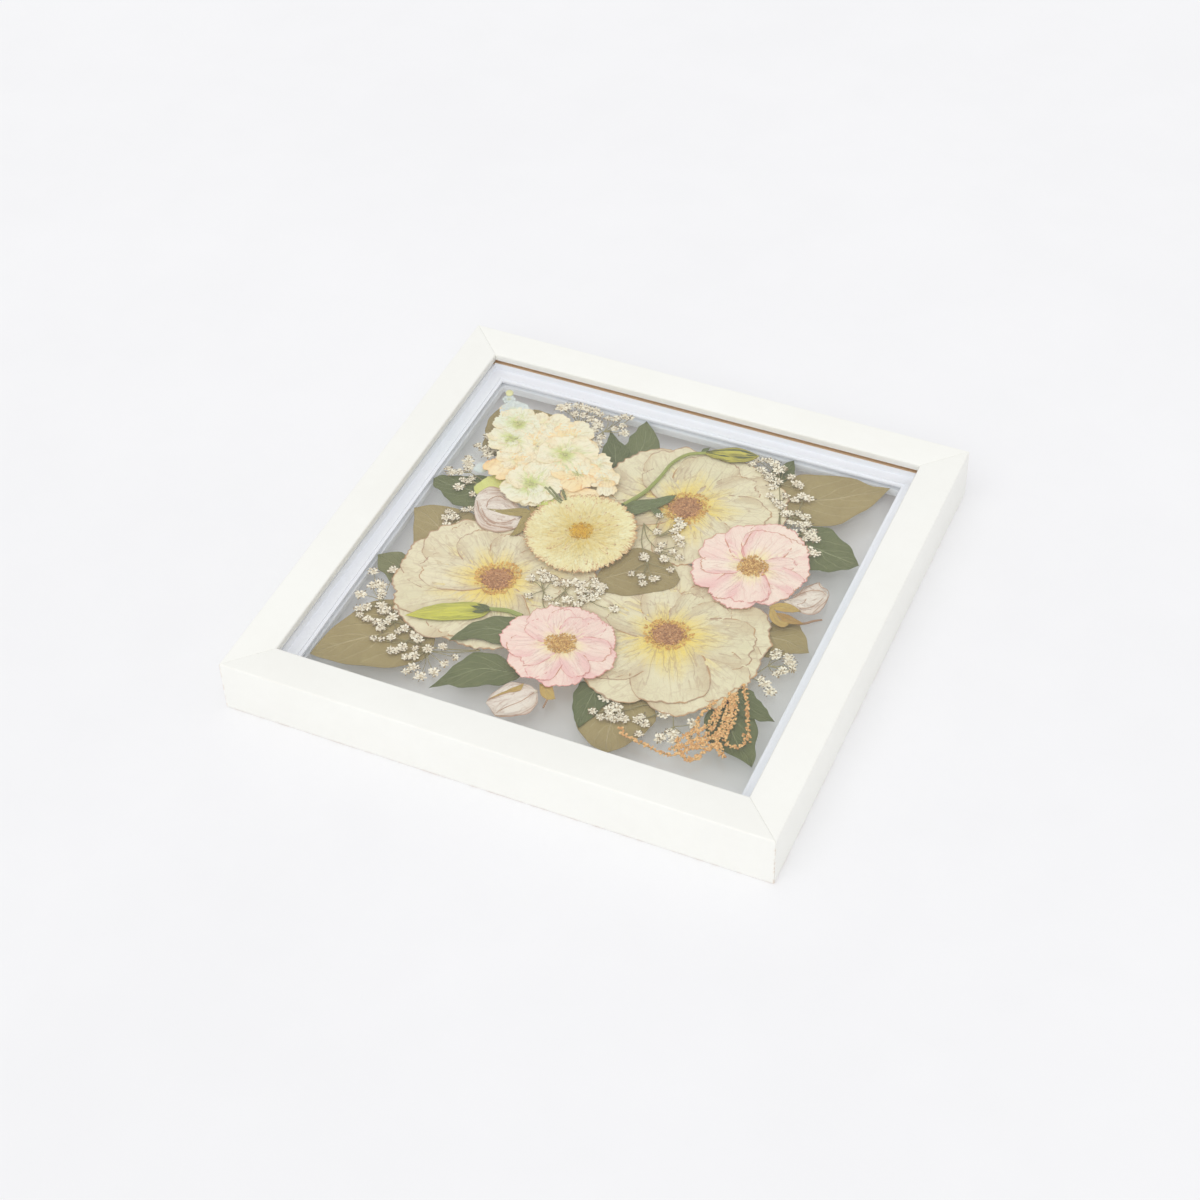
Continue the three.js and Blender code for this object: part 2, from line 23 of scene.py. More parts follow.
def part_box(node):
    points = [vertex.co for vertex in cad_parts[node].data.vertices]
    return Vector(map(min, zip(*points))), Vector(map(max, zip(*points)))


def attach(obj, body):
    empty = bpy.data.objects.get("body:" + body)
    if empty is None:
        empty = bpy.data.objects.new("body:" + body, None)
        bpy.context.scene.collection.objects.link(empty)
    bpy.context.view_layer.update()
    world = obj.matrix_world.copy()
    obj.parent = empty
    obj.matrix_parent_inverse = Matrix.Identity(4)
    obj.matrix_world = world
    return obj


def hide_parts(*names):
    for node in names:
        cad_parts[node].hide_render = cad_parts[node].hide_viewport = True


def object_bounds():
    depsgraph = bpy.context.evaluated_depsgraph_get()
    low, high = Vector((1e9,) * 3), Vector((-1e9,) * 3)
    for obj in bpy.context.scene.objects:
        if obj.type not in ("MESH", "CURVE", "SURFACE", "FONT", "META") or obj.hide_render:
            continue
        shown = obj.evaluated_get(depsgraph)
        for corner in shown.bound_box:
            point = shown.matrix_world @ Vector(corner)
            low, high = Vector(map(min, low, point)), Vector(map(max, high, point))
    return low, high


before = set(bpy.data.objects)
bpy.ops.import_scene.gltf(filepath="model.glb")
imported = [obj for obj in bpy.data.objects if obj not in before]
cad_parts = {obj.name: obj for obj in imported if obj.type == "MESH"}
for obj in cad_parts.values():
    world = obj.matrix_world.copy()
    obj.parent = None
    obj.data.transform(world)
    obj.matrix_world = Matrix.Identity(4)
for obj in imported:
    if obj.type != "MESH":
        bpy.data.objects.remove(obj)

CAD_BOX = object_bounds()
BODY = "root"
MM = 0.001
UV_NAME = "UVMap"
TINT_NAME = "tint"
WELD = 0.01  # corners closer than this are one
SHEET = 0.14  # thickness of a dry petal or leaf
SMOOTH = math.radians(50)  # faces that meet at less than this are shaded as one

Point = tuple[float, float]
Colour = tuple[int, int, int]
Material = bpy.types.Material
log = logging.getLogger("pressed_flower_frame")


# ---- Small helpers ----


def linear(colour: Colour) -> tuple[float, float, float, float]:
    """Turns an 8-bit screen colour into the linear colour that shaders take."""
    shares = [channel / 255 for channel in colour]
    return (*(s / 12.92 if s <= 0.04045 else ((s + 0.055) / 1.055) ** 2.4 for s in shares), 1.0)


def deselect_all() -> None:
    """Leaves no object selected, so that an operator acts only on what is added next."""
    for thing in bpy.context.selected_objects:
        thing.select_set(False)


def make_active(thing: bpy.types.Object) -> None:
    """Makes one object the only selected and active one.

    Args:
        thing: The object.
    """
    deselect_all()
    thing.select_set(True)
    bpy.context.view_layer.objects.active = thing


@contextmanager
def editing(thing: bpy.types.Object) -> Iterator[None]:
    """Opens an object's mesh for editing, with all of it selected, and closes it again.

    Args:
        thing: The object to edit.

    Yields:
        Nothing: the mesh is open meanwhile.
    """
    make_active(thing)
    bpy.ops.object.mode_set(mode="EDIT")
    bpy.ops.mesh.select_all(action="SELECT")
    yield
    bpy.ops.object.mode_set(mode="OBJECT")


def apply_modifier(thing: bpy.types.Object, kind: str, **settings: Any) -> None:
    """Adds a modifier with the given settings and applies it.

    Args:
        thing: The object to change.
        kind: The name of the modifier's type, in capitals.
        settings: Values for the modifier's own properties.
    """
    make_active(thing)
    modifier = thing.modifiers.new(kind.lower(), kind)
    for key, value in settings.items():
        setattr(modifier, key, value)
    bpy.ops.object.modifier_apply(modifier=modifier.name)


def smooth_curve(points: Sequence[Point], shares: np.ndarray) -> np.ndarray:
    """Runs a smooth curve through plan points.

    Args:
        points: Two or more places that the curve passes through.
        shares: Where to sample it, as shares of its length from 0 to 1.

    Returns:
        One row of coordinates for each share.
    """
    knots = np.asarray(points, float)
    steps = np.linalg.norm(np.diff(knots, axis=0), axis=1)
    at = np.concatenate([[0.0], np.cumsum(steps)]) / steps.sum()
    slopes = np.gradient(knots, at, axis=0)
    span = np.clip(np.searchsorted(at, shares, side="right") - 1, 0, len(at) - 2)
    width = (at[span + 1] - at[span])[:, None]
    t = (shares - at[span])[:, None] / width
    return (
        (1 + 2 * t) * (1 - t) ** 2 * knots[span]
        + t * (1 - t) ** 2 * width * slopes[span]
        + t**2 * (3 - 2 * t) * knots[span + 1]
        + t**2 * (t - 1) * width * slopes[span + 1]
    )


def ripple(draw: random.Random, terms: int, pitch: float) -> Callable[..., np.ndarray]:
    """Makes a smooth random wave over one or two shares.

    Args:
        draw: The source of the random numbers.
        terms: How many sines are summed.
        pitch: The highest count of waves across the sheet.

    Returns:
        A function of one or two arrays, with values of about -1 to 1.
    """
    waves = [
        (draw.uniform(0.2, 1) * pitch, draw.uniform(-1, 1) * pitch, draw.uniform(0, math.tau))
        for _ in range(terms)
    ]

    def wave(a: np.ndarray | float, b: np.ndarray | float = 0.0) -> np.ndarray:
        """Sums the sines at the given shares."""
        return sum(np.sin(fa * a * 3 + fb * b * 3 + shift) for fa, fb, shift in waves) / terms**0.5

    return wave


def polar(centre: Sequence[float], bearing: float, reach: float) -> Point:
    """The plan place at a bearing, in radians, and a distance from a centre."""
    return centre[0] + reach * math.cos(bearing), centre[1] + reach * math.sin(bearing)


def turned(out: np.ndarray, side: np.ndarray, bearing: float, centre: Sequence[float]) -> np.ndarray:
    """Turns corners to a bearing round a centre.

    Args:
        out: How far each corner lies along the bearing.
        side: How far it lies to the left of it.
        bearing: The bearing in radians.
        centre: The centre's place in plan.

    Returns:
        One row of plan coordinates for each corner.
    """
    c, s = math.cos(bearing), math.sin(bearing)
    return np.array(centre[:2]) + np.column_stack([out * c - side * s, out * s + side * c])


# ---- Templates and pieces ----


@dataclass
class Template:
    """A small mesh that is modelled once and then copied.

    Corners are in template units, faces are tuples of corner numbers, and uv has one row a corner.
    """

    corners: np.ndarray
    faces: list[tuple[int, ...]]
    uv: np.ndarray

    @classmethod
    def from_active(cls) -> "Template":
        """Takes the active object's mesh as a template, and removes the object.

        Returns:
            The template, with its plan for its UVs.
        """
        thing = bpy.context.object
        corners = np.array([vertex.co for vertex in thing.data.vertices])
        faces = [tuple(polygon.vertices) for polygon in thing.data.polygons]
        bpy.data.objects.remove(thing, do_unlink=True)
        low, high = corners.min(0), corners.max(0)
        uv = (corners - low)[:, :2] / np.maximum(high - low, 1e-9)[:2]
        return cls(corners, faces, uv)

    @classmethod
    @cache
    def grid(cls, columns: int, rows: int) -> "Template":
        """Models a flat grid from -1 to 1.

        Args:
            columns: The count of faces along a sheet, which is its X.
            rows: The count of faces across it.

        Returns:
            The template.
        """
        deselect_all()
        bpy.ops.mesh.primitive_grid_add(x_subdivisions=columns, y_subdivisions=rows, size=2)
        return cls.from_active()

    @classmethod
    @cache
    def bead(cls, fineness: int = 1) -> "Template":
        """Models a faceted ball of radius 1.

        Args:
            fineness: How often its faces are divided.

        Returns:
            The template.
        """
        deselect_all()
        bpy.ops.mesh.primitive_ico_sphere_add(subdivisions=fineness, radius=1)
        return cls.from_active()

    @classmethod
    @cache
    def thread(cls) -> "Template":
        """Models a tapered three-sided rod from the origin to 1 along X, with a half width of 1.

        Returns:
            The template.
        """
        deselect_all()
        bpy.ops.mesh.primitive_cone_add(vertices=3, radius1=1, radius2=0.6, depth=1, location=(0, 0, 0.5))
        made = cls.from_active()
        made.corners = made.corners[:, [2, 0, 1]]
        made.uv = made.corners[:, :2].copy()
        return made

    @property
    def along(self) -> np.ndarray:
        """Each corner's share of the way along, from 0 to 1."""
        return (self.corners[:, 0] + 1) / 2

    @property
    def across(self) -> np.ndarray:
        """Each corner's place across, from -1 to 1."""
        return self.corners[:, 1]


class Piece:
    """Gathers copies of templates, and makes one object of them in place of a model node."""

    def __init__(self, node: str, *finishes: Material) -> None:
        """Starts an empty piece, with its node's height and its own source of random numbers.

        Args:
            node: The model node that it stands for.
            finishes: Its materials. A copy is dressed in the first if it names no other.
        """
        self.node = node
        self.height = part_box(node)[0].z / MM
        self.draw = random.Random(node)
        self.finishes = finishes
        self.parts: dict[bool, list[tuple]] = {True: [], False: []}

    def add(
        self, template: Template, corners: np.ndarray, finish: Material | None = None, tint: float = 0.5,
        sheet: bool = False,
    ) -> None:
        """Adds one copy of a template.

        Args:
            template: Gives the copy's faces and UVs.
            corners: The copy's corners in millimetres.
            finish: Its material, or None for the piece's first.
            tint: A shade of about 0 to 1 that its material may read.
            sheet: True for an open sheet that is to be given a thickness.
        """
        number = 0 if finish is None else self.finishes.index(finish)
        self.parts[sheet].append((template, corners, number, tint))

    def _mesh(self, parts: list[tuple]) -> bpy.types.Object:
        """Joins some copies in one new object.

        Args:
            parts: The copies.

        Returns:
            The object.
        """
        corners, faces, uv, finish, tint = [], [], [], [], []
        start = 0
        for template, places, number, shade in parts:
            corners.append(places)
            faces.extend(tuple(start + corner for corner in face) for face in template.faces)
            uv.append(template.uv)
            finish.extend([number] * len(template.faces))
            tint.append(np.full(len(places), shade))
            start += len(places)
        mesh = bpy.data.meshes.new(self.node)
        mesh.from_pydata((np.concatenate(corners) * MM).tolist(), [], faces)
        loops = np.empty(len(mesh.loops), dtype=np.int32)
        mesh.loops.foreach_get("vertex_index", loops)
        mesh.uv_layers.new(name=UV_NAME).uv.foreach_set("vector", np.concatenate(uv)[loops].ravel())
        mesh.attributes.new(TINT_NAME, "FLOAT", "POINT").data.foreach_set("value", np.concatenate(tint))
        for material in self.finishes:
            mesh.materials.append(material)
        mesh.polygons.foreach_set("material_index", finish)
        thing = bpy.data.objects.new(self.node, mesh)
        bpy.context.scene.collection.objects.link(thing)
        return thing

    def build(self, slot: str, thickness: float = SHEET) -> None:
        """Makes the object, closes its poles, thickens its sheets and puts it in the node's place.

        Args:
            slot: Not used.
            thickness: The thickness of its sheets.
        """
        made = []
        for sheet in (True, False):
            if not self.parts[sheet]:
                continue
            thing = self._mesh(self.parts[sheet])
            with editing(thing):
                bpy.ops.mesh.remove_doubles(threshold=WELD * MM)
            if sheet:
                apply_modifier(thing, "SOLIDIFY", thickness=thickness * MM, offset=0)
            made.append(thing)
        for thing in made:
            thing.select_set(True)
        bpy.context.view_layer.objects.active = made[0]
        if len(made) > 1:
            bpy.ops.object.join()
        bpy.ops.object.shade_smooth_by_angle(angle=SMOOTH)
        made[0].name = f"{self.node.removesuffix('_spray')}_dried"
        settle(made[0], self.node)


def settle(thing: bpy.types.Object, node: str) -> None:
    """Puts a finished piece in a model node's place, on the part's one body.

    Args:
        thing: The finished piece.
        node: The node that it stands for.
    """
    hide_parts(node)
    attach(thing, BODY)
    log.info("%s: %d faces", thing.name, len(thing.data.polygons))


# ---- Shader graphs ----


def combining(operation: str, swap: bool = False) -> Callable[["Signal", Any], "Signal"]:
    """Makes a method that combines a signal with another value.

    Args:
        operation: The Math node's operation.
        swap: True if the other value comes first in it.

    Returns:
        The method.
    """

    def combine(signal: "Signal", other: Any) -> "Signal":
        """Adds the node that combines both."""
        return signal.graph.math(operation, *((other, signal) if swap else (signal, other)))

    return combine


class Signal:
    """A value in a shader graph, which takes part in sums, products and comparisons."""

    __add__ = combining("ADD")
    __sub__ = combining("SUBTRACT")
    __rsub__ = combining("SUBTRACT", swap=True)
    __mul__ = combining("MULTIPLY")
    __truediv__ = combining("DIVIDE")
    __rtruediv__ = combining("DIVIDE", swap=True)
    __gt__ = combining("GREATER_THAN")
    __lt__ = combining("LESS_THAN")
    most = combining("MAXIMUM")
    least = combining("MINIMUM")

    def __init__(self, graph: "Graph", socket: bpy.types.NodeSocket) -> None:
        """Stands for one output of a node in the graph."""
        self.graph = graph
        self.socket = socket

    def __abs__(self) -> "Signal":
        """This value without its sign."""
        return self.graph.math("ABSOLUTE", self)


class Graph:
    """Places and links shader nodes in one tree."""

    def __init__(self, tree: bpy.types.NodeTree) -> None:
        """Works on the given tree."""
        self.tree = tree

    def link(self, signal: Signal, port: bpy.types.NodeSocket) -> None:
        """Feeds a signal to a node's input."""
        self.tree.links.new(signal.socket, port)

    def node(self, kind: str, ports: dict[Any, Any] | None = None, **settings: Any) -> bpy.types.Node:
        """Adds a node.

        Args:
            kind: The node's type, without the prefix of shader nodes.
            ports: Numbers, colours or signals, by input name or number.
            settings: Values for the node's own properties.

        Returns:
            The new node.
        """
        made = self.tree.nodes.new(kind if kind.startswith("Node") else f"ShaderNode{kind}")
        for key, value in settings.items():
            setattr(made, key, value)
        for port, value in (ports or {}).items():
            if isinstance(value, Signal):
                self.link(value, made.inputs[port])
            else:
                made.inputs[port].default_value = value
        return made

    def value(
        self, kind: str, ports: dict[Any, Any] | None = None, port: int | str = 0, **settings: Any
    ) -> Signal:
        """Adds a node as above, and takes the output with the given name or number."""
        return Signal(self, self.node(kind, ports, **settings).outputs[port])

    def math(self, operation: str, *values: Any) -> Signal:
        """Combines numbers or signals with one operation."""
        return self.value("Math", dict(enumerate(values)), operation=operation)

    def mix(self, share: Any, first: Any, second: Any) -> Signal:
        """Mixes two colours, each a signal or an 8-bit screen colour."""
        first, second = (linear(hue) if isinstance(hue, tuple) else hue for hue in (first, second))
        return self.value("Mix", {0: share, 6: first, 7: second}, 2, data_type="RGBA")

    def span(self, value: Any, low: float, high: float, start: float = 0, end: float = 1) -> Signal:
        """Maps low to start and high to end, smoothly and without overshoot."""
        ports = {"Value": value, "From Min": low, "From Max": high, "To Min": start, "To Max": end}
        return self.value("MapRange", ports, interpolation_type="SMOOTHSTEP")

    def noise(
        self, vector: Signal, scale: Any, detail: float = 3, rough: float = 0.5, twist: float = 0
    ) -> Signal:
        """A noise value from 0 to 1."""
        ports = {"Vector": vector, "Scale": scale, "Detail": detail, "Roughness": rough, "Distortion": twist}
        return self.value("TexNoise", ports, "Fac")

    def split(self, vector: Signal) -> list[Signal]:
        """The three parts of a vector."""
        return [Signal(self, socket) for socket in self.node("SeparateXYZ", {0: vector}).outputs]

    def join(self, x: Signal, y: Signal, z: Any = 0.0) -> Signal:
        """The vector with the given parts."""
        return self.value("CombineXYZ", {0: x, 1: y, 2: z})

    def stretch(self, vector: Signal, scale: Sequence[float]) -> Signal:
        """Scales a vector by a different amount each way."""
        return self.value("Mapping", {"Vector": vector, "Scale": scale})

    def group(self, tree: bpy.types.NodeTree, vector: Signal, amount: float) -> list[Signal]:
        """Places one of the shared groups, and gives its outputs."""
        made = self.node("Group", {0: vector, 1: amount}, node_tree=tree)
        return [Signal(self, socket) for socket in made.outputs]


class Surface(Graph):
    """The graph of one material, round its Principled shader."""

    def __init__(self, tree: bpy.types.NodeTree) -> None:
        """Puts the shader and the material's output in an empty tree.

        Args:
            tree: The material's tree.
        """
        super().__init__(tree)
        self.shader = self.node("BsdfPrincipled")
        self.output = self.node("OutputMaterial", {"Surface": Signal(self, self.shader.outputs[0])})

    @property
    def place(self) -> Signal:
        """The place on the object, in metres."""
        return self.value("TexCoord", port="Object")

    @property
    def sheet(self) -> Signal:
        """The place on a sheet: X is the share of the way along, Y the share of the way across."""
        return self.value("UVMap", uv_map=UV_NAME)

    @property
    def tint(self) -> Signal:
        """The shade that each copy in a piece was given."""
        return self.value("Attribute", port="Fac", attribute_name=TINT_NAME)

    def keep(self, **constants: Any) -> None:
        """Sets constants on the shader, with an underscore for each space in an input's name."""
        for port, value in constants.items():
            self.shader.inputs[port.replace("_", " ")].default_value = value

    def coat(self, colour: Signal, rough: Signal, height: Signal, rise: float) -> None:
        """Feeds the shader.

        Args:
            colour: The base colour.
            rough: The roughness.
            height: The relief, from 0 to 1.
            rise: What a height of 1 stands for, in millimetres.
        """
        normal = self.value("Bump", {"Height": height, "Distance": rise * MM, "Strength": 1.0})
        for signal, port in ((colour, "Base Color"), (rough, "Roughness"), (normal, "Normal")):
            self.link(signal, self.shader.inputs[port])


class Effects:
    """The node groups that several materials share. Each takes a vector and one number."""

    def __init__(self) -> None:
        """Builds each group once."""
        self.mottle = self._make("mottle", "Scale", self._mottle)
        self.margin = self._make("margin", "Width", self._margin)
        self.streaks = self._make("streaks", "Count", self._streaks)
        self.creases = self._make("creases", "Scale", self._creases)
        self.ribs = self._make("ribs", "Pairs", self._ribs)

    def _make(
        self, name: str, number: str, fill: Callable[[Graph, Signal, Signal], dict[str, Signal]]
    ) -> bpy.types.NodeTree:
        """Makes a group.

        Args:
            name: The group's name.
            number: The name of its number.
            fill: Adds its nodes, and gives its outputs by name.

        Returns:
            The group's tree.
        """
        tree = bpy.data.node_groups.new(name, "ShaderNodeTree")
        tree.interface.new_socket("Vector", in_out="INPUT", socket_type="NodeSocketVector")
        tree.interface.new_socket(number, in_out="INPUT", socket_type="NodeSocketFloat")
        graph = Graph(tree)
        entry = graph.node("NodeGroupInput").outputs
        outputs = fill(graph, Signal(graph, entry["Vector"]), Signal(graph, entry[number]))
        for port in outputs:
            tree.interface.new_socket(port, in_out="OUTPUT", socket_type="NodeSocketFloat")
        graph.node("NodeGroupOutput", outputs)
        return tree

    def _mottle(self, graph: Graph, vector: Signal, scale: Signal) -> dict[str, Signal]:
        """Two sizes of cloud, one on the other."""
        large, fine = graph.noise(vector, scale, 4, 0.6), graph.noise(vector, scale * 6, 3, 0.6)
        return {"Value": graph.span(large * 0.7 + fine * 0.3, 0.3, 0.7)}

    def _margin(self, graph: Graph, vector: Signal, width: Signal) -> dict[str, Signal]:
        """1 at the sides and the far end of a sheet, falling to 0 at about the given width.

        Args:
            graph: The group's graph.
            vector: The place on the sheet.
            width: The margin's width, as a share of the sheet.

        Returns:
            The mask.
        """
        along, across, _ = graph.split(vector)
        nearest = (1 - along).least(0.5 - abs(across - 0.5))
        uneven = width * (graph.noise(vector, 9, 3) * 2)
        return {"Mask": graph.span(nearest / uneven, 0.2, 1, 1, 0)}

    def _streaks(self, graph: Graph, vector: Signal, count: Signal) -> dict[str, Signal]:
        """Fine veins that run along a sheet and fan out with it.

        Args:
            graph: The group's graph.
            vector: The place on the sheet.
            count: About how many veins there are.

        Returns:
            A mask of the veins, and a height.
        """
        along, across, _ = graph.split(vector)
        value = graph.noise(graph.join(along * 2.5, across * count), 1, 3, 0.6, 0.6)
        return {"Mask": graph.span(value, 0.52, 0.68), "Height": value}

    def _creases(self, graph: Graph, vector: Signal, scale: Signal) -> dict[str, Signal]:
        """Crossing lines, coarse and fine, as in thin paper that was crumpled and pressed flat.

        Args:
            graph: The group's graph.
            vector: The place on the object.
            scale: How many facets there are in a metre.

        Returns:
            A mask of the lines, and the facets' height.
        """
        sway = graph.value("TexNoise", {"Vector": vector, "Scale": scale, "Detail": 3}, "Color")
        pull = graph.value("VectorMath", {0: sway, "Scale": 1.1 / scale}, operation="SCALE")
        bent = graph.value("VectorMath", {0: vector, 1: pull})
        coarse, fine = (
            graph.value("TexVoronoi", {"Vector": bent, "Scale": size}, feature="DISTANCE_TO_EDGE")
            for size in (scale, scale * 2.7)
        )
        patch = graph.noise(vector, scale * 0.7, 2)
        long_lines = graph.span(coarse, 0, 0.05, 1, 0) * graph.span(patch, 0.4, 0.6)
        short_lines = graph.span(fine, 0, 0.12, 0.7, 0) * graph.span(patch, 0.6, 0.44)
        facets = graph.span(coarse, 0, 0.3, 0, 0.6) + graph.span(fine, 0, 0.3, 0, 0.4)
        return {"Mask": long_lines.most(short_lines), "Height": facets}

    def _ribs(self, graph: Graph, vector: Signal, pairs: Signal) -> dict[str, Signal]:
        """A leaf's midrib and its side veins, which bend towards the tip.

        Args:
            graph: The group's graph.
            vector: The place on the leaf.
            pairs: How many pairs of side veins there are.

        Returns:
            A mask of the midrib and one of the side veins.
        """
        along, across, _ = graph.split(vector)
        off = abs(across - 0.5)
        wander = graph.noise(vector, 4, 2) * 0.12
        phase = graph.math("FRACT", (along - off * 0.55 + wander) * pairs)
        side = graph.span(abs(phase - 0.5), 0.0, 0.09, 1, 0) * graph.span(off, 0.3, 0.5, 1, 0.2)
        return {"Midrib": graph.span(off, 0.004, 0.02, 1, 0), "Side": side}


EFFECTS = Effects()


# ---- Finishes ----


@dataclass(frozen=True)
class Finish:
    """A material. Each kind of finish below says how it looks."""

    name: str

    def make(self) -> bpy.types.Material:
        """Builds the material.

        Returns:
            The new material.
        """
        material = bpy.data.materials.new(self.name)
        material.use_nodes = True
        material.node_tree.nodes.clear()
        self.draw(Surface(material.node_tree))
        return material

    def draw(self, graph: Surface) -> None:
        """Draws the finish in the material's graph."""
        raise NotImplementedError(self.name)


@dataclass(frozen=True)
class PetalFinish(Finish):
    """A dry petal: a streaked base, a clouded body, darker sides, a scorched margin and creases."""

    body: Colour
    tinted: Colour
    shade: Colour
    base: Colour
    margin: Colour
    scorch: Colour
    vein: Colour
    base_reach: float = 0.5
    base_strength: float = 1.0
    shade_strength: float = 0.75
    margin_width: float = 0.02
    margin_strength: float = 0.85
    vein_count: float = 46
    vein_strength: float = 0.25
    fold_strength: float = 0.5
    fold_count: float = 5.0
    crease_scale: float = 130
    crease_strength: float = 0.1

    def draw(self, graph: Surface) -> None:
        """Draws the finish.

        Args:
            graph: The material's graph.
        """
        place, sheet, tint = graph.place, graph.sheet, graph.tint
        (cloud,) = graph.group(EFFECTS.mottle, place, 70)
        along, across, _ = graph.split(sheet)
        side = abs(across - 0.5) * 2
        colour = graph.mix(tint * 0.6 + cloud * 0.4, self.body, self.tinted)
        drift = (graph.noise(place, 38, 3, 0.6) - 0.5) * 1.6
        flank = graph.span(side + drift, 0.35, 1.05)
        colour = graph.mix(flank * self.shade_strength, colour, self.shade)
        veins, vein_height = graph.group(EFFECTS.streaks, sheet, self.vein_count)
        rays, ray_height = graph.group(EFFECTS.streaks, sheet, 12)
        flare = along + graph.math("POWER", side, 2) * 0.3 + (ray_height - 0.5) * 0.45
        golden = graph.span(flare, self.base_reach * 0.25, self.base_reach, self.base_strength, 0)
        colour = graph.mix(golden, colour, self.base)
        lane = graph.join(along * 1.4, across * self.fold_count, tint * 60)
        crest = abs(graph.noise(lane, 1, 3, 0.5) - 0.5)
        fold = graph.span(crest, 0, 0.03, 1, 0) * graph.span(along, 0.55, 1.0, 1, 0.35)
        inner = graph.span(along, 0.3, 0.9, 1, 0) * graph.span(side, 0.25, 0.8) * rays * 0.4
        colour = graph.mix(inner.most(fold) * self.fold_strength, colour, self.margin)
        colour = graph.mix(veins * self.vein_strength, colour, self.vein)
        creases, facets = graph.group(EFFECTS.creases, place, self.crease_scale)
        colour = graph.mix(creases * self.crease_strength, colour, self.margin)
        (edge,) = graph.group(EFFECTS.margin, sheet, self.margin_width)
        burnt = graph.mix(graph.span(graph.noise(place, 120, 2), 0.45, 0.6), self.margin, self.scorch)
        colour = graph.mix(edge * self.margin_strength, colour, burnt)
        graph.keep(Sheen_Weight=0.15)
        height = vein_height * 0.4 + fold * 0.5 + facets * 0.5
        graph.coat(colour, graph.span(cloud, 0, 1, 0.55, 0.8), height, 0.25)


@dataclass(frozen=True)
class LeafFinish(Finish):
    """A dry leaf with a midrib, side veins, a leathery grain and a darker rim."""

    body: Colour
    shade: Colour
    rib: Colour
    pairs: float = 7
    rib_strength: float = 0.65

    def draw(self, graph: Surface) -> None:
        """Draws the finish.

        Args:
            graph: The material's graph.
        """
        place, sheet = graph.place, graph.sheet
        (cloud,) = graph.group(EFFECTS.mottle, place, 45)
        colour = graph.mix(cloud * 0.5 + graph.tint * 0.5, self.body, self.shade)
        (rim,) = graph.group(EFFECTS.margin, sheet, 0.06)
        colour = graph.mix(rim * 0.5, colour, self.shade)
        midrib, side_veins = graph.group(EFFECTS.ribs, sheet, self.pairs)
        ribs = midrib.most(side_veins * 0.55)
        colour = graph.mix(ribs * self.rib_strength, colour, self.rib)
        grain = graph.noise(place, 700, 3, 0.7)
        colour = graph.mix(graph.span(grain, 0.4, 0.7, 0, 0.35), colour, self.shade)
        graph.coat(colour, graph.span(cloud, 0, 1, 0.5, 0.7), ribs * 0.8 + grain * 0.4, 0.3)


@dataclass(frozen=True)
class GrainFinish(Finish):
    """Small dry grains, threads or beads, shaded from dark to light by each one's tint."""

    dark: Colour
    light: Colour
    scale: float = 700
    rough: float = 0.7

    def draw(self, graph: Surface) -> None:
        """Draws the finish.

        Args:
            graph: The material's graph.
        """
        grain = graph.noise(graph.place, self.scale, 3, 0.6)
        colour = graph.mix(graph.tint * 0.7 + grain * 0.3, self.dark, self.light)
        graph.coat(colour, graph.span(grain, 0, 1, self.rough - 0.1, self.rough + 0.1), grain, 0.15)


@dataclass(frozen=True)
class PaintFinish(Finish):
    """Satin paint on wood: faint brush marks, worn arrises, and raw wood inside the back rebate.

    Half is half the frame's width, height its height, rebate half the rebate's width and lip the
    height of the lip's underside.
    """

    paint: Colour
    clouded: Colour
    worn: Colour
    wood: Colour
    ring: Colour
    half: float
    height: float
    rebate: float
    lip: float

    def draw(self, graph: Surface) -> None:
        """Draws the finish.

        Args:
            graph: The material's graph.
        """
        place = graph.place
        x, y, z = graph.split(place)
        wide, deep = abs(x), abs(y)
        outward = wide.most(deep)
        (cloud,) = graph.group(EFFECTS.mottle, place, 22)
        colour = graph.mix(cloud * 0.35, self.paint, self.clouded)
        corner = graph.span(wide.least(deep), (self.half - 1.2) * MM, self.half * MM)
        foot = graph.span(z, 0.2 * MM, 1.2 * MM, 1, 0)
        rim = graph.span(outward, (self.half - 0.9) * MM, (self.half - 0.3) * MM)
        top = graph.span(z, (self.height - 0.9) * MM, (self.height - 0.3) * MM)
        ragged = graph.span(graph.noise(place, 160, 5, 0.7), 0.42, 0.62)
        wear = corner.most(foot).most(rim * top * 0.12) * ragged * 0.6
        colour = graph.mix(wear, colour, self.worn)
        rings = graph.noise(graph.stretch(place, (40, 40, 900)), 1, 4, 0.6)
        timber = graph.mix(rings, self.wood, self.ring)
        inside, under = outward < (self.rebate + 0.1) * MM, z < (self.lip + 0.1) * MM
        at_back = graph.span(y, (self.rebate - 9) * MM, (self.rebate - 7) * MM, 0.06, 1)
        raw = inside * under * at_back
        colour = graph.mix(raw, colour, timber)
        brush_x, brush_y = (
            graph.noise(graph.stretch(place, scale), 1, 4, 0.6) for scale in ((6, 900, 900), (900, 6, 900))
        )
        brush = graph.value("Mix", {0: wide > deep, 2: brush_x, 3: brush_y})
        rough = graph.span(brush, 0.2, 0.8, 0.34, 0.46).most(raw * 0.8)
        graph.coat(colour, rough, brush + wear * -0.8, 0.05)


